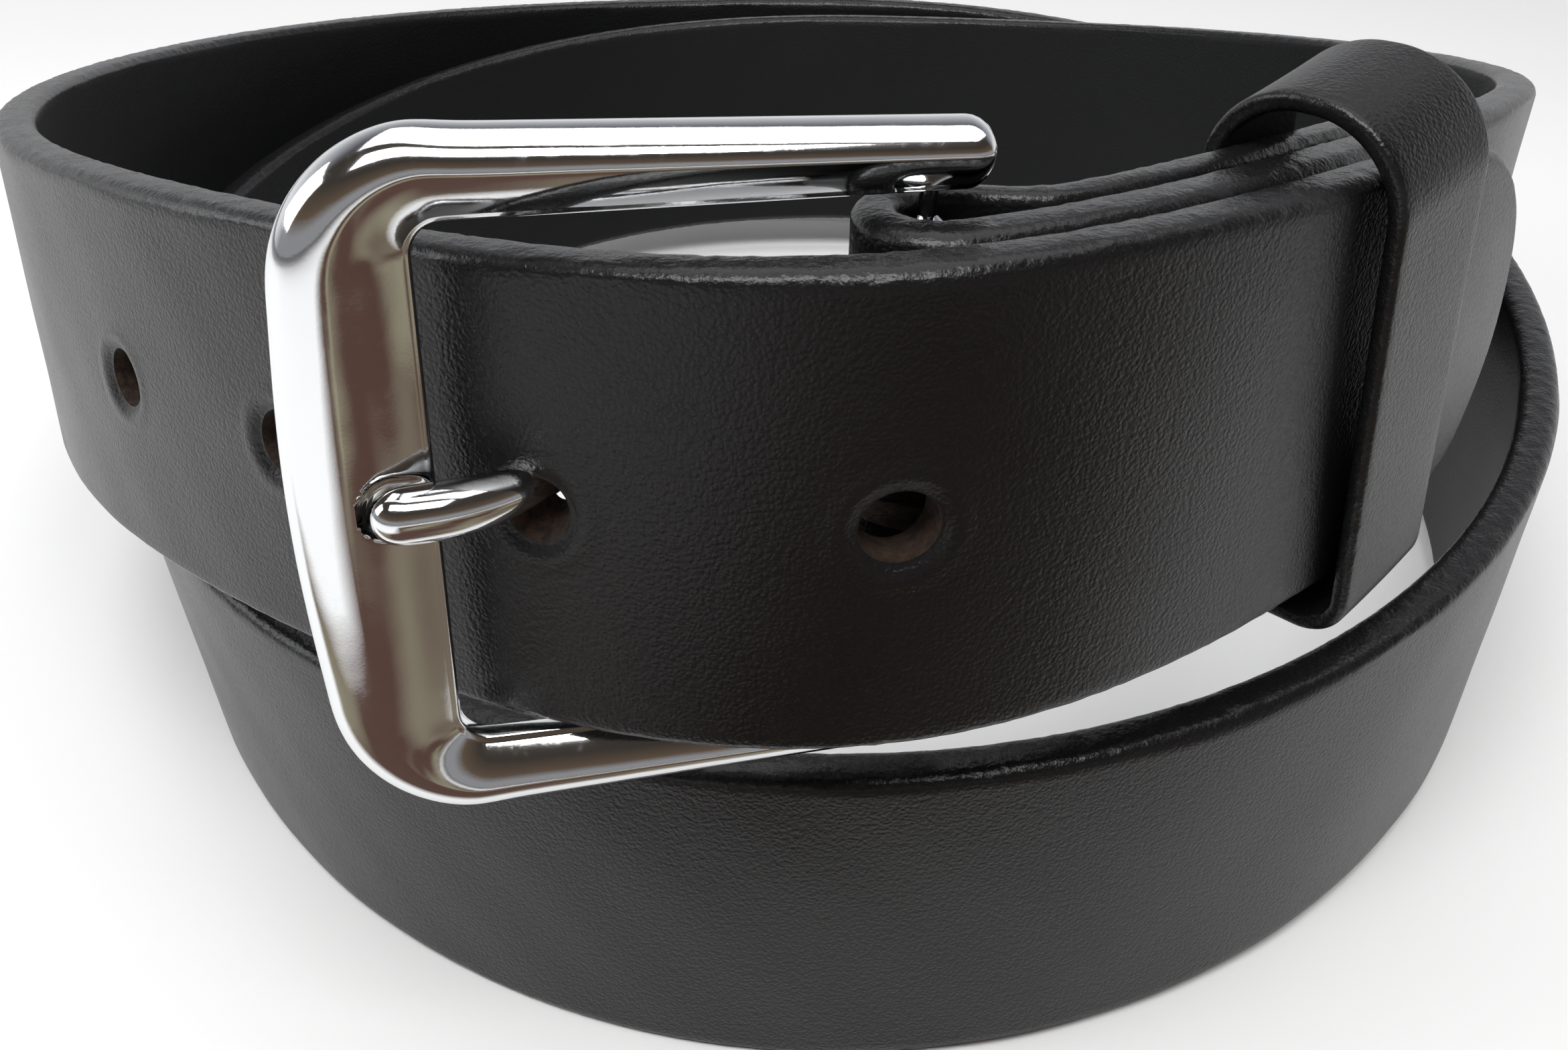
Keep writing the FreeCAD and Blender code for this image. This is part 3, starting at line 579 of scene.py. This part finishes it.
def build_keeper(material):
    station = Station(KEEPER_ANGLE)
    upright, level = station.up, station.along
    station.up = upright * math.cos(KEEPER_TILT) + level * math.sin(KEEPER_TILT)
    station.along = level * math.cos(KEEPER_TILT) - upright * math.sin(KEEPER_TILT)
    stack = turnback_depth(KEEPER_ANGLE) + TURNBACK_THICK / 2.0
    half = KEEPER_THICK / 2.0
    front = KEEPER_SIDE_GAP + half
    back = -stack - KEEPER_SIDE_GAP - half
    top = STRAP_WIDTH / 2.0 + KEEPER_TOP_GAP + half
    bottom = -STRAP_WIDTH / 2.0 - KEEPER_BOTTOM_GAP - half
    arch = (front - back) / 2.0 - KEEPER_ARCH_FLAT
    path = rounded_loop([(back, bottom), (front, bottom), (front, top), (back, top)],
                        [KEEPER_CORNER + half, KEEPER_CORNER + half, arch, arch])
    normals = loop_normals(path)
    section = rounded_bar(KEEPER_BAND, KEEPER_THICK, KEEPER_EDGE)
    centre = station.at(out=-KEEPER_TURN_RADIUS)
    maker = MeshMaker()
    rows = []
    for spot, normal in zip(path, normals):
        row = []
        for across, through in section:
            out, up = spot + normal * through
            turn = across / KEEPER_TURN_RADIUS
            reach = out + KEEPER_TURN_RADIUS
            row.append(centre + station.up * up + station.out * (reach * math.cos(turn))
                       + station.along * (reach * math.sin(turn)))
        rows.append(row)
    points = np.array(rows)
    edge = (abs(section[:, 0]) > KEEPER_BAND / 2.0 - KEEPER_EDGE).astype(float)
    inside = (section[:, 1] < KEEPER_INSIDE).astype(float)
    masks = np.stack([edge, np.zeros_like(edge), inside * (1.0 - edge)], axis=1)
    grid = maker.add(points, np.broadcast_to(masks, points.shape))
    grid = np.concatenate([grid, grid[:1]], axis=0)
    grid = np.concatenate([grid, grid[:, :1]], axis=1)
    maker.quads(grid)
    return maker.make("keeper_leather", material)


# ---- buckle frame ------------------------------------------------------------------------------
def buckle_place(points):
    """From (u, v, n) in the buckle's plane to the part's frame."""
    cosine, sine = math.cos(FRAME_TURN), math.sin(FRAME_TURN)
    u = HEEL_AXIS.along * cosine + HEEL_AXIS.out * sine
    n = HEEL_AXIS.out * cosine - HEEL_AXIS.along * sine
    basis = np.array([u, HEEL_AXIS.up, n])
    return np.array(HEEL_AXIS.point) + points @ basis


def frame_place(points):
    """The frame hangs a little below the middle of the strap."""
    return buckle_place(points - np.array([0.0, FRAME_DROP, 0.0]))


def even(points, count):
    length = np.concatenate([[0.0], np.cumsum(np.linalg.norm(np.diff(points, axis=0), axis=1))])
    spots = np.linspace(0.0, length[-1], count)
    return np.stack([np.interp(spots, length, points[:, i]) for i in range(points.shape[1])], axis=1)


def soften(points, width):
    """Evens out the joins between arcs and straights, keeping both ends."""
    kernel = np.exp(-0.5 * (np.arange(-3 * width, 3 * width + 1) / width) ** 2)
    kernel /= kernel.sum()
    first, last = points[:1], points[-1:]
    before = 2.0 * first - points[1:3 * width + 1][::-1]
    after = 2.0 * last - points[-3 * width - 1:-1][::-1]
    padded = np.concatenate([before, points, after])
    return np.stack([np.convolve(padded[:, i], kernel, "valid") for i in range(points.shape[1])], axis=1)


def bar_half(u_points, v_points, corner, bow):
    """Upper half of a frame outline: tip to corner to the middle of the front bar."""
    tip_u, front_u = u_points
    tip_v, front_v = v_points
    side = [(tip_u, tip_v), (front_u + corner, front_v - (front_v - tip_v) * corner / (tip_u - front_u))]
    turn = [(front_u + corner - corner * math.sin(a), front_v - corner + corner * math.cos(a))
            for a in np.linspace(0.0, math.pi / 2.0, 40)[1:]]
    front = [(front_u - bow * math.sin(t * math.pi / 2.0), (front_v - corner) * (1.0 - t))
             for t in np.linspace(0.0, 1.0, 30)[1:]]
    return np.array(side), np.array(turn), np.array(front)


def frame_border(half_v_tip, half_v_front, front_u, corner, bow):
    side, turn, front = bar_half((FRAME_TIP, front_u), (half_v_tip, half_v_front), corner, bow)
    upper = np.concatenate([even(side, SIDE_STATIONS),
                            even(np.concatenate([side[-1:], turn]), CORNER_STATIONS)[1:],
                            even(np.concatenate([turn[-1:], front]), FRONT_STATIONS)[1:]])
    lower = upper[::-1][1:] * np.array([1.0, -1.0])
    return soften(np.concatenate([upper, lower]), BORDER_SOFTENING)


def section_heights(width):
    """Closed section of a bar from outer (0) to inner (width), as (distance, height) points."""
    top = FRAME_THICK / 2.0
    ridge = RIDGE_SHARE * width
    points = []
    for t in np.linspace(0.0, math.pi / 2.0, 22):
        points.append((ridge * (1.0 - math.cos(t)), SIDE_LEVEL + (top - SIDE_LEVEL) * math.sin(t)))
    for t in np.linspace(0.0, 1.0, 26)[1:]:
        drop = (top - LIP_LEVEL) * (BEVEL_HOLLOW * t * t + (1.0 - BEVEL_HOLLOW) * t)
        points.append((ridge + (width - LIP_ROUND - ridge) * t, top - drop))
    for t in (0.35, 0.7, 1.0):
        points.append((width - LIP_ROUND * (1.0 - math.sin(t * math.pi / 2.0)),
                       LIP_LEVEL - LIP_ROUND * (1.0 - math.cos(t * math.pi / 2.0))))
    points.append((width, 0.5 * (LIP_LEVEL + BACK_LIP_LEVEL)))
    points.append((width, BACK_LIP_LEVEL))
    points.append((width - BACK_EDGE, -top + BACK_EDGE_DROP))
    flat_start = width - BACK_FLAT
    for t in np.linspace(0.0, 1.0, 6):
        points.append((flat_start + (BACK_ROUND - flat_start) * t, -top))
    for t in np.linspace(0.0, math.pi / 2.0, 9)[1:-1]:
        points.append((BACK_ROUND * (1.0 - math.sin(t)), SIDE_LEVEL - (top + SIDE_LEVEL) * math.cos(t)))
    return np.array(points)


def seat_prong(u, v, height):
    """Lowers the front of the front bar to a smooth seat for the prong's tip."""
    length_in = np.clip((-FRAME_INNER_LENGTH - NOTCH_LENGTH - u) / NOTCH_RADIUS + 1.0, 0.0, 1.0)
    beside = v - FRAME_DROP
    room = np.maximum(NOTCH_RADIUS ** 2 * (1.0 - length_in ** 2) - beside ** 2, 0.0)
    floor = np.where(room > 0.0, NOTCH_CENTRE - np.sqrt(room), NO_NOTCH)
    mix = np.clip(0.5 + 0.5 * (floor - height) / NOTCH_BLEND, 0.0, 1.0)
    lowered = floor * (1.0 - mix) + height * mix - NOTCH_BLEND * mix * (1.0 - mix)
    seated = (height > 0.0) & (u < -FRAME_INNER_LENGTH + 1.0) & (room > 0.0)
    return np.where(seated, np.minimum(lowered, height), height)


def round_tips(rows):
    """Draws the last sections of the two side bars in to rounded ends."""
    for end, step in ((0, 1), (len(rows) - 1, -1)):
        for k in range(TIP_CAP_ROWS):
            i = end + step * k
            away = FRAME_TIP - rows[i][:, 0].max()
            if away < TIP_CAP:
                scale = math.sqrt(max(1.0 - (1.0 - away / TIP_CAP) ** 2, 0.0))
                scale = max(scale, TIP_CAP_SMALLEST) if k else 0.0
                middle = rows[i].mean(axis=0)
                share = TIP_CAP_MIDDLE + (1.0 - TIP_CAP_MIDDLE) * scale
                rows[i] = middle + (rows[i] - middle) * share


def close_tube(maker, points):
    """Faces of a closed tube from its rings of points, with a face over each end."""
    grid = maker.add(points)
    maker.quads(np.concatenate([grid, grid[:, :1]], axis=1))
    maker.face(grid[0].tolist())
    maker.face(grid[-1].tolist())


def heel_bar_rings():
    """The round heel bar, thinner and set back near its roots."""
    ring = [(HEEL_RADIUS * math.cos(a), HEEL_RADIUS * math.sin(a))
            for a in np.linspace(0, TURN, BAR_SIDES + 1)[:-1]]
    reach = FRAME_INNER_HEIGHT / 2.0 + HEEL_ROOT
    shoulder, neck = reach - HEEL_SHOULDER, reach - HEEL_NECK
    rings = []
    for v in (-reach, -neck, -shoulder, 0.0, shoulder, neck, reach):
        share, sunk = (1.0, 0.0) if abs(v) <= shoulder else (HEEL_END_SHARE, HEEL_END_SUNK)
        rings.append([(c * share, v, d * share - sunk) for c, d in ring])
    return np.array(rings)


def build_frame(material):
    half_height = FRAME_INNER_HEIGHT / 2.0
    outer = frame_border(half_height + SIDE_BAR_TIP, half_height + SIDE_BAR_FRONT,
                         -FRAME_INNER_LENGTH - FRONT_BAR, FRAME_CORNER, FRAME_BOW)
    inner = frame_border(half_height, half_height, -FRAME_INNER_LENGTH, FRAME_INNER_CORNER, 0.0)
    rows = []
    for outside, inside in zip(outer, inner):
        width = float(np.linalg.norm(inside - outside))
        section = section_heights(width)
        across = (inside - outside) / width
        plan = outside[None, :] + section[:, :1] * across[None, :]
        height = seat_prong(plan[:, 0], plan[:, 1], section[:, 1])
        rows.append(np.stack([plan[:, 0], plan[:, 1], height], axis=1))
    rows = np.array(rows)
    round_tips(rows)
    maker = MeshMaker()
    close_tube(maker, frame_place(rows))
    close_tube(maker, frame_place(heel_bar_rings()))
    return maker.make("buckle_frame_polished", material, merge=0.0005, sharp=40.0)


# ---- prong -------------------------------------------------------------------------------------
def spline(points, count):
    """Smooth curve through points, at even steps."""
    p = np.array(points, float)
    p = np.concatenate([2.0 * p[:1] - p[1:2], p, 2.0 * p[-1:] - p[-2:-1]])
    samples = []
    for i in range(1, len(p) - 2):
        for t in np.linspace(0.0, 1.0, 60, endpoint=False):
            a, b, c, d = p[i - 1], p[i], p[i + 1], p[i + 2]
            samples.append(0.5 * (2 * b + (c - a) * t + (2 * a - 5 * b + 4 * c - d) * t ** 2
                                  + (3 * b - a - 3 * c + d) * t ** 3))
    samples.append(p[-2])
    return soften(even(np.array(samples), count), 3)


def round_end(share, smallest):
    """Scale of a section at some share of the way into a rounded end."""
    return math.sqrt(max(1.0 - (1.0 - min(share, 1.0)) ** 2, smallest))


def prong_ring(spot, normal, from_start, to_tip, past_eye):
    """One section: a flat band at the eye that turns round along the shank."""
    rounding_start, rounding_length = PRONG_ROUNDING
    swell_start, swell_length = PRONG_SWELL
    round_share = smooth((past_eye - rounding_start) / rounding_length)
    swell = smooth((swell_start - to_tip) / swell_length)
    radius = PRONG_RADIUS + (PRONG_TIP_RADIUS - PRONG_RADIUS) * swell
    half_v = PRONG_EYE_WIDTH / 2.0 * (1.0 - round_share) + radius * round_share
    half_n = PRONG_EYE_THICK / 2.0 * (1.0 - round_share) + radius * round_share
    scale = round_end(to_tip / PRONG_NOSE, 1e-4) * round_end(from_start / PRONG_START, 1e-3)
    squareness = 2.0 + 2.0 * (1.0 - round_share)
    ring = []
    for a in np.linspace(0.0, TURN, PRONG_SIDES + 1)[:-1]:
        c, d = math.cos(a), math.sin(a)
        x = math.copysign(abs(c) ** (2.0 / squareness), c) * half_v * scale
        y = math.copysign(abs(d) ** (2.0 / squareness), d) * half_n * scale
        ring.append((spot[0] + normal[0] * y, x, spot[1] + normal[1] * y))
    return ring


def build_prong(material):
    wrap_radius = HEEL_RADIUS + PRONG_EYE_GAP + PRONG_EYE_THICK / 2.0
    wrap = [(wrap_radius * math.sin(a), wrap_radius * math.cos(a))
            for a in np.linspace(PRONG_EYE_WRAP, 0.0, 40)]
    path = np.concatenate([np.array(wrap)[:-1], spline(PRONG_PATH, PRONG_SHANK_STATIONS)])
    path = even(path, PRONG_STATIONS)
    ahead = np.gradient(path, axis=0)
    ahead /= np.linalg.norm(ahead, axis=1)[:, None]
    side = np.stack([ahead[:, 1], -ahead[:, 0]], axis=1)
    length = np.concatenate([[0.0], np.cumsum(np.linalg.norm(np.diff(path, axis=0), axis=1))])
    rings = []
    for spot, normal, here in zip(path, side, length):
        to_tip = length[-1] - here
        rings.append(prong_ring(spot, normal, here, to_tip, PRONG_STRAIGHT - to_tip))
    maker = MeshMaker()
    close_tube(maker, buckle_place(np.array(rings)))
    return maker.make("prong_polished", material, merge=0.0005)


# ---- materials ---------------------------------------------------------------------------------
class Nodes:
    """Short calls for building a node tree."""

    def __init__(self, material):
        self.tree = material.node_tree
        self.tree.nodes.clear()

    def new(self, kind, inputs=None, **settings):
        node = self.tree.nodes.new(kind)
        for key, value in settings.items():
            setattr(node, key, value)
        for key, value in (inputs or {}).items():
            if isinstance(value, bpy.types.NodeSocket):
                self.tree.links.new(value, node.inputs[key])
            else:
                node.inputs[key].default_value = value
        return node

    def math(self, operation, a, b=0.0):
        return self.new("ShaderNodeMath", {0: a, 1: b}, operation=operation).outputs[0]

    def ramp(self, value, low, high, out_low=0.0, out_high=1.0):
        inputs = {"Value": value, "From Min": low, "From Max": high, "To Min": out_low, "To Max": out_high}
        return self.new("ShaderNodeMapRange", inputs).outputs[0]

    def mix(self, share, a, b):
        node = self.new("ShaderNodeMix", data_type="RGBA")
        for socket, value in ((0, share), (6, a), (7, b)):
            if isinstance(value, bpy.types.NodeSocket):
                self.tree.links.new(value, node.inputs[socket])
            else:
                node.inputs[socket].default_value = value
        return node.outputs[2]

    def blend(self, share, a, b):
        """Mixes two plain values."""
        return self.new("ShaderNodeMix", {0: share, 2: a, 3: b}, data_type="FLOAT").outputs[0]

    def cells(self, where, scale, feature):
        inputs = {"Vector": where, "Scale": scale}
        return self.new("ShaderNodeTexVoronoi", inputs, feature=feature).outputs["Distance"]

    def noise(self, where, scale, detail=2.0, roughness=0.5):
        inputs = {"Vector": where, "Scale": scale, "Detail": detail, "Roughness": roughness}
        return self.new("ShaderNodeTexNoise", inputs).outputs["Fac"]

    def finish(self, shader):
        output = self.new("ShaderNodeOutputMaterial")
        self.tree.links.new(shader, output.inputs["Surface"])


def new_material(name):
    material = bpy.data.materials.new(name)
    material.use_nodes = True
    return material, Nodes(material)


# Scales of the leather's patterns, in repeats per metre.
JITTER_SCALE, JITTER = 900.0, 0.0005
GRAIN_SCALE, FINE_SCALE = 2700.0, 5200.0
EDGE_PEBBLE_SCALE, EDGE_ROUGH_SCALE = 700.0, 2400.0
CLOUD_SCALE, BROAD_SCALE, FIBRE_SCALE = 60.0, 18.0, 1400.0
LEATHER_BUMP, LEATHER_BUMP_DEPTH = 0.5, 0.00018

# Tones of the leather, dark and light.
FACE_TONES = (0.0022, 0.0018, 0.0019, 1.0), (0.0040, 0.0033, 0.0035, 1.0)
PORE_TONE = (0.002, 0.0019, 0.002, 1.0)
INSIDE_TONES = (0.0040, 0.0044, 0.0047, 1.0), (0.0060, 0.0064, 0.0068, 1.0)
EDGE_TONE = (0.0060, 0.0060, 0.0066, 1.0)
CORE_TONES = (0.008, 0.005, 0.004, 1.0), (0.045, 0.024, 0.013, 1.0)
FACE_ROUGHNESS, EDGE_ROUGHNESS = (0.27, 0.33), (0.22, 0.36)
INSIDE_ROUGHNESS, CORE_ROUGHNESS = 0.55, 0.9
FACE_SHEEN, INSIDE_SHEEN = 0.34, 0.2


def leather(name):
    """Black full-grain leather: fine pebble, burnished edges, raw tan core inside the holes."""
    material, n = new_material(name)
    where = n.new("ShaderNodeTexCoord").outputs["Object"]
    masks = n.new("ShaderNodeAttribute", attribute_name="masks").outputs["Vector"]
    edge, raw, inside = n.new("ShaderNodeSeparateXYZ", {"Vector": masks}).outputs

    jitter = n.new("ShaderNodeTexNoise", {"Vector": where, "Scale": JITTER_SCALE, "Detail": 2.0})
    shift = n.new("ShaderNodeVectorMath", {0: jitter.outputs["Color"], "Scale": JITTER}, operation="SCALE")
    bent = n.new("ShaderNodeVectorMath", {0: where, 1: shift.outputs[0]}, operation="ADD").outputs[0]
    cells = n.cells(bent, GRAIN_SCALE, "F1")
    big_cells = n.cells(bent, EDGE_PEBBLE_SCALE, "SMOOTH_F1")
    fine = n.noise(where, FINE_SCALE, 3.0, 0.6)
    cloud = n.noise(where, CLOUD_SCALE, 3.0, 0.55)
    broad = n.noise(where, BROAD_SCALE, 2.0, 0.5)
    fibre = n.noise(where, FIBRE_SCALE, 4.0, 0.7)
    edge_rough = n.noise(where, EDGE_ROUGH_SCALE, 2.0)

    grain = n.math("ADD", n.math("MULTIPLY", cells, -0.55), n.math("MULTIPLY", fine, 0.35))
    pebble = n.math("ADD", n.math("MULTIPLY", big_cells, -1.1), n.math("MULTIPLY", edge_rough, 0.8))
    bump = n.new("ShaderNodeBump", {"Height": n.blend(edge, grain, pebble), "Strength": LEATHER_BUMP,
                                    "Distance": LEATHER_BUMP_DEPTH})

    face_tone = n.mix(n.ramp(cloud, 0.3, 0.7), *FACE_TONES)
    face_tone = n.mix(n.ramp(cells, 0.25, 0.75, 0.0, 0.35), face_tone, PORE_TONE)
    inside_tone = n.mix(n.ramp(broad, 0.3, 0.7), *INSIDE_TONES)
    core = n.mix(n.ramp(fibre, 0.35, 0.65), *CORE_TONES)
    colour = n.mix(inside, face_tone, inside_tone)
    colour = n.mix(edge, colour, EDGE_TONE)
    colour = n.mix(n.ramp(raw, 0.2, 1.0), colour, core)

    rough = n.math("ADD", n.ramp(cloud, 0.25, 0.75, *FACE_ROUGHNESS), n.math("MULTIPLY", cells, 0.08))
    rough = n.blend(edge, rough, n.ramp(fine, 0.3, 0.7, *EDGE_ROUGHNESS))
    rough = n.blend(inside, rough, INSIDE_ROUGHNESS)
    rough = n.blend(raw, rough, CORE_ROUGHNESS)
    sheen = n.ramp(inside, 0.0, 1.0, FACE_SHEEN, INSIDE_SHEEN)
    shader = n.new("ShaderNodeBsdfPrincipled", {"Base Color": colour, "Roughness": rough,
                                                "Specular IOR Level": sheen,
                                                "Normal": bump.outputs[0], "IOR": 1.52})
    n.finish(shader.outputs[0])
    return material


CHROME_TONE, CHROME_ROUGHNESS = (0.78, 0.79, 0.80, 1.0), 0.075
SCREW_TONE, SCREW_ROUGHNESS = (0.55, 0.55, 0.56, 1.0), 0.22
METAL_WAVE_SCALE, METAL_SPECKLE_SCALE, SCUFF_SCALE = 140.0, 4000.0, 900.0
METAL_BUMP, METAL_BUMP_DEPTH = 0.16, 0.0004


def plated_metal(name, roughness, tone):
    """Polished plating with faint waviness and hairline scuffs."""
    material, n = new_material(name)
    where = n.new("ShaderNodeTexCoord").outputs["Object"]
    wave = n.noise(where, METAL_WAVE_SCALE, 2.0, 0.5)
    speckle = n.noise(where, METAL_SPECKLE_SCALE, 2.0, 0.6)
    height = n.math("ADD", wave, n.math("MULTIPLY", speckle, 0.03))
    bump = n.new("ShaderNodeBump", {"Height": height, "Strength": METAL_BUMP, "Distance": METAL_BUMP_DEPTH})
    scuffs = n.ramp(n.noise(where, SCUFF_SCALE, 4.0, 0.65), 0.55, 0.75, 0.0, 0.08)
    rough = n.math("ADD", scuffs, roughness)
    shader = n.new("ShaderNodeBsdfPrincipled", {"Base Color": tone, "Metallic": 1.0, "Roughness": rough,
                                                "Normal": bump.outputs[0]})
    n.finish(shader.outputs[0])
    return material


# ---- pieces ------------------------------------------------------------------------------------
def place_piece(piece, node, body):
    """The piece stands for a CAD node and moves with its body."""
    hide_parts(node)
    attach(piece, body)


strap_material = leather("black_full_grain")
keeper_material = leather("black_keeper_leather")
chrome_material = plated_metal("polished_chrome", CHROME_ROUGHNESS, CHROME_TONE)
screw_material = plated_metal("brushed_screw_steel", SCREW_ROUGHNESS, SCREW_TONE)

place_piece(build_strap(strap_material), "strap", "belt_strap")
place_piece(build_keeper(keeper_material), "keeper_loop", "keeper")
place_piece(build_frame(chrome_material), "buckle_frame", "buckle")
place_piece(build_prong(chrome_material), "prong", "prong")

for node in ("screws", "screw_posts", "keeper_staple"):
    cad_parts[node].data.materials.clear()
    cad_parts[node].data.materials.append(screw_material)

# ---- stage -------------------------------------------------------------------------------------
CAMERA_PLACE = Vector((-1.5, -199.5, 126.1)) * MM
CAMERA_PITCH = math.radians(33.2)
CAMERA_ROLL = math.radians(0.53)
CAMERA_LENS, CAMERA_SENSOR = 36.9, 36.0

FLOOR_LEVEL = 0.2 * MM
FLOOR_SIZE = 6.0
FLOOR_TONES = (0.86, 0.90)
HAZE_START, HAZE_FULL = 0.45, 1.0    # distances from the belt over which the floor fades
BACKDROP = (0.85, 0.85, 0.85, 1.0)   # the far floor melts into it

# Painted reflection on the floor, in metres: what reflections alone see there is a dark warm patch in front
# of the belt, as if someone stood there.  Each pair is where its side of the patch begins and where it is
# full.
PATCH_LEFT, PATCH_RIGHT = (-0.37, -0.32), (0.60, 0.34)
PATCH_BACK, PATCH_FRONT = (-0.120, -0.134), (-0.55, -0.42)
PATCH_SLANT, PATCH_SLANT_FROM = 1.43, -0.21
PAINTED_REFLECTION_TONES = (0.070, 0.034, 0.024, 1.0), (0.26, 0.24, 0.17, 1.0)
PATCH_SURROUND = (0.90, 0.90, 0.90, 1.0)

# The room round the belt: pale behind, dark and warm in front and above.
ROOM_BACK = (0.85, 0.86, 0.88, 1.0), (0.12, 0.12, 0.14, 1.0)
ROOM_FRONT = (0.12, 0.085, 0.06, 1.0), (0.05, 0.042, 0.035, 1.0)
ROOM_LOW_FRONT = (0.30, 0.30, 0.31, 1.0)

# Name, place, target, size, watts and tint of each soft light.
LIGHTS = (("key", (-0.06, -0.46, 0.80), (0.0, 0.0, 0.05), (0.8, 0.3), 7.0, (1.0, 1.0, 1.0)),
          ("overhead", (0.05, 0.15, 0.85), (0.0, 0.0, 0.0), (1.1, 0.7), 4.0, (1.0, 1.0, 1.0)),
          ("left_window", (-0.75, -0.05, 0.40), (0.0, -0.08, 0.05), (0.5, 0.4), 2.0, (0.97, 0.99, 1.0)))


def reflected_floor(n, where):
    """The floor's colour as reflections see it, with the painted reflection of a dark warm patch."""
    x, y, _ = n.new("ShaderNodeSeparateXYZ", {"Vector": where}).outputs
    slanted = n.math("ADD", x, n.math("MULTIPLY", n.math("MAXIMUM", y, PATCH_SLANT_FROM), PATCH_SLANT))
    shade = n.math("MULTIPLY", n.ramp(slanted, *PATCH_LEFT), n.ramp(x, *PATCH_RIGHT))
    shade = n.math("MULTIPLY", shade, n.ramp(y, *PATCH_BACK))
    shade = n.math("MULTIPLY", shade, n.ramp(y, *PATCH_FRONT))
    # noise mottles the tone of the painted reflection
    reflection_mottle = n.ramp(n.noise(where, 7.0, 2.0), 0.42, 0.62)
    return n.mix(shade, PATCH_SURROUND, n.mix(reflection_mottle, *PAINTED_REFLECTION_TONES))


def make_floor():
    """A plain pale floor that fades into the backdrop far from the belt."""
    bpy.ops.mesh.primitive_plane_add(size=FLOOR_SIZE, location=(0.0, 0.0, FLOOR_LEVEL))
    floor = bpy.context.active_object
    floor.name = "floor"
    material, n = new_material("pale_floor")
    where = n.new("ShaderNodeTexCoord").outputs["Object"]
    tone = n.ramp(n.noise(where, 6.0, 3.0), 0.3, 0.7, *FLOOR_TONES)
    pale = n.new("ShaderNodeCombineColor", {0: tone, 1: tone, 2: tone}).outputs[0]
    rays = n.new("ShaderNodeLightPath").outputs
    # glossy rays see the painted reflection patch in place of the pale floor
    colour = n.mix(rays["Is Glossy Ray"], pale, reflected_floor(n, where))
    shader = n.new("ShaderNodeBsdfPrincipled", {"Base Color": colour, "Roughness": 0.6,
                                                "Specular IOR Level": 0.2})
    away = n.new("ShaderNodeVectorMath", {0: where}, operation="LENGTH").outputs["Value"]
    far = n.math("MULTIPLY", n.ramp(away, HAZE_START, HAZE_FULL), rays["Is Camera Ray"])
    haze = n.new("ShaderNodeEmission", {"Color": BACKDROP})
    both = n.new("ShaderNodeMixShader", {0: far, 1: shader.outputs[0], 2: haze.outputs[0]})
    n.finish(both.outputs[0])
    floor.data.materials.append(material)


def area_light(name, place, target, size, watts, tint):
    light = bpy.data.lights.new(name, "AREA")
    light.shape = "RECTANGLE"
    light.size, light.size_y = size
    light.energy = watts
    light.color = tint
    lamp = bpy.data.objects.new(name, light)
    lamp.location = place
    lamp.rotation_euler = (Vector(target) - Vector(place)).to_track_quat("-Z", "Y").to_euler()
    bpy.context.scene.collection.objects.link(lamp)


def make_world():
    """A plain backdrop to the eye; light and reflections come from the room."""
    world = bpy.data.worlds.new("studio")
    bpy.context.scene.world = world
    world.use_nodes = True
    n = Nodes(world)
    way = n.new("ShaderNodeTexCoord").outputs["Generated"]
    _, y, z = n.new("ShaderNodeSeparateXYZ", {"Vector": way}).outputs
    back = n.mix(n.ramp(z, 0.15, 0.75), *ROOM_BACK)
    dark = n.mix(n.ramp(z, 0.3, 0.6), *ROOM_FRONT)
    warm = n.mix(n.ramp(z, 0.12, 0.28), ROOM_LOW_FRONT, dark)
    room = n.mix(n.ramp(y, 0.40, 0.0), back, warm)
    seen = n.new("ShaderNodeLightPath").outputs["Is Camera Ray"]
    shade = n.new("ShaderNodeBackground", {"Color": n.mix(seen, room, BACKDROP), "Strength": 1.0})
    output = n.new("ShaderNodeOutputWorld")
    n.tree.links.new(shade.outputs[0], output.inputs["Surface"])


def make_camera():
    data = bpy.data.cameras.new("camera")
    data.sensor_width = CAMERA_SENSOR
    data.lens = CAMERA_LENS
    data.clip_start = 0.01
    camera = bpy.data.objects.new("camera", data)
    camera.location = CAMERA_PLACE
    look = Euler((math.pi / 2.0 - CAMERA_PITCH, 0.0, 0.0)).to_matrix()
    roll = Matrix.Rotation(CAMERA_ROLL, 3, "Z")
    camera.rotation_euler = (look @ roll).to_euler()
    bpy.context.scene.collection.objects.link(camera)
    bpy.context.scene.camera = camera


make_floor()
make_world()
for light in LIGHTS:
    area_light(*light)
make_camera()
bpy.context.scene.view_settings.view_transform = "Standard"
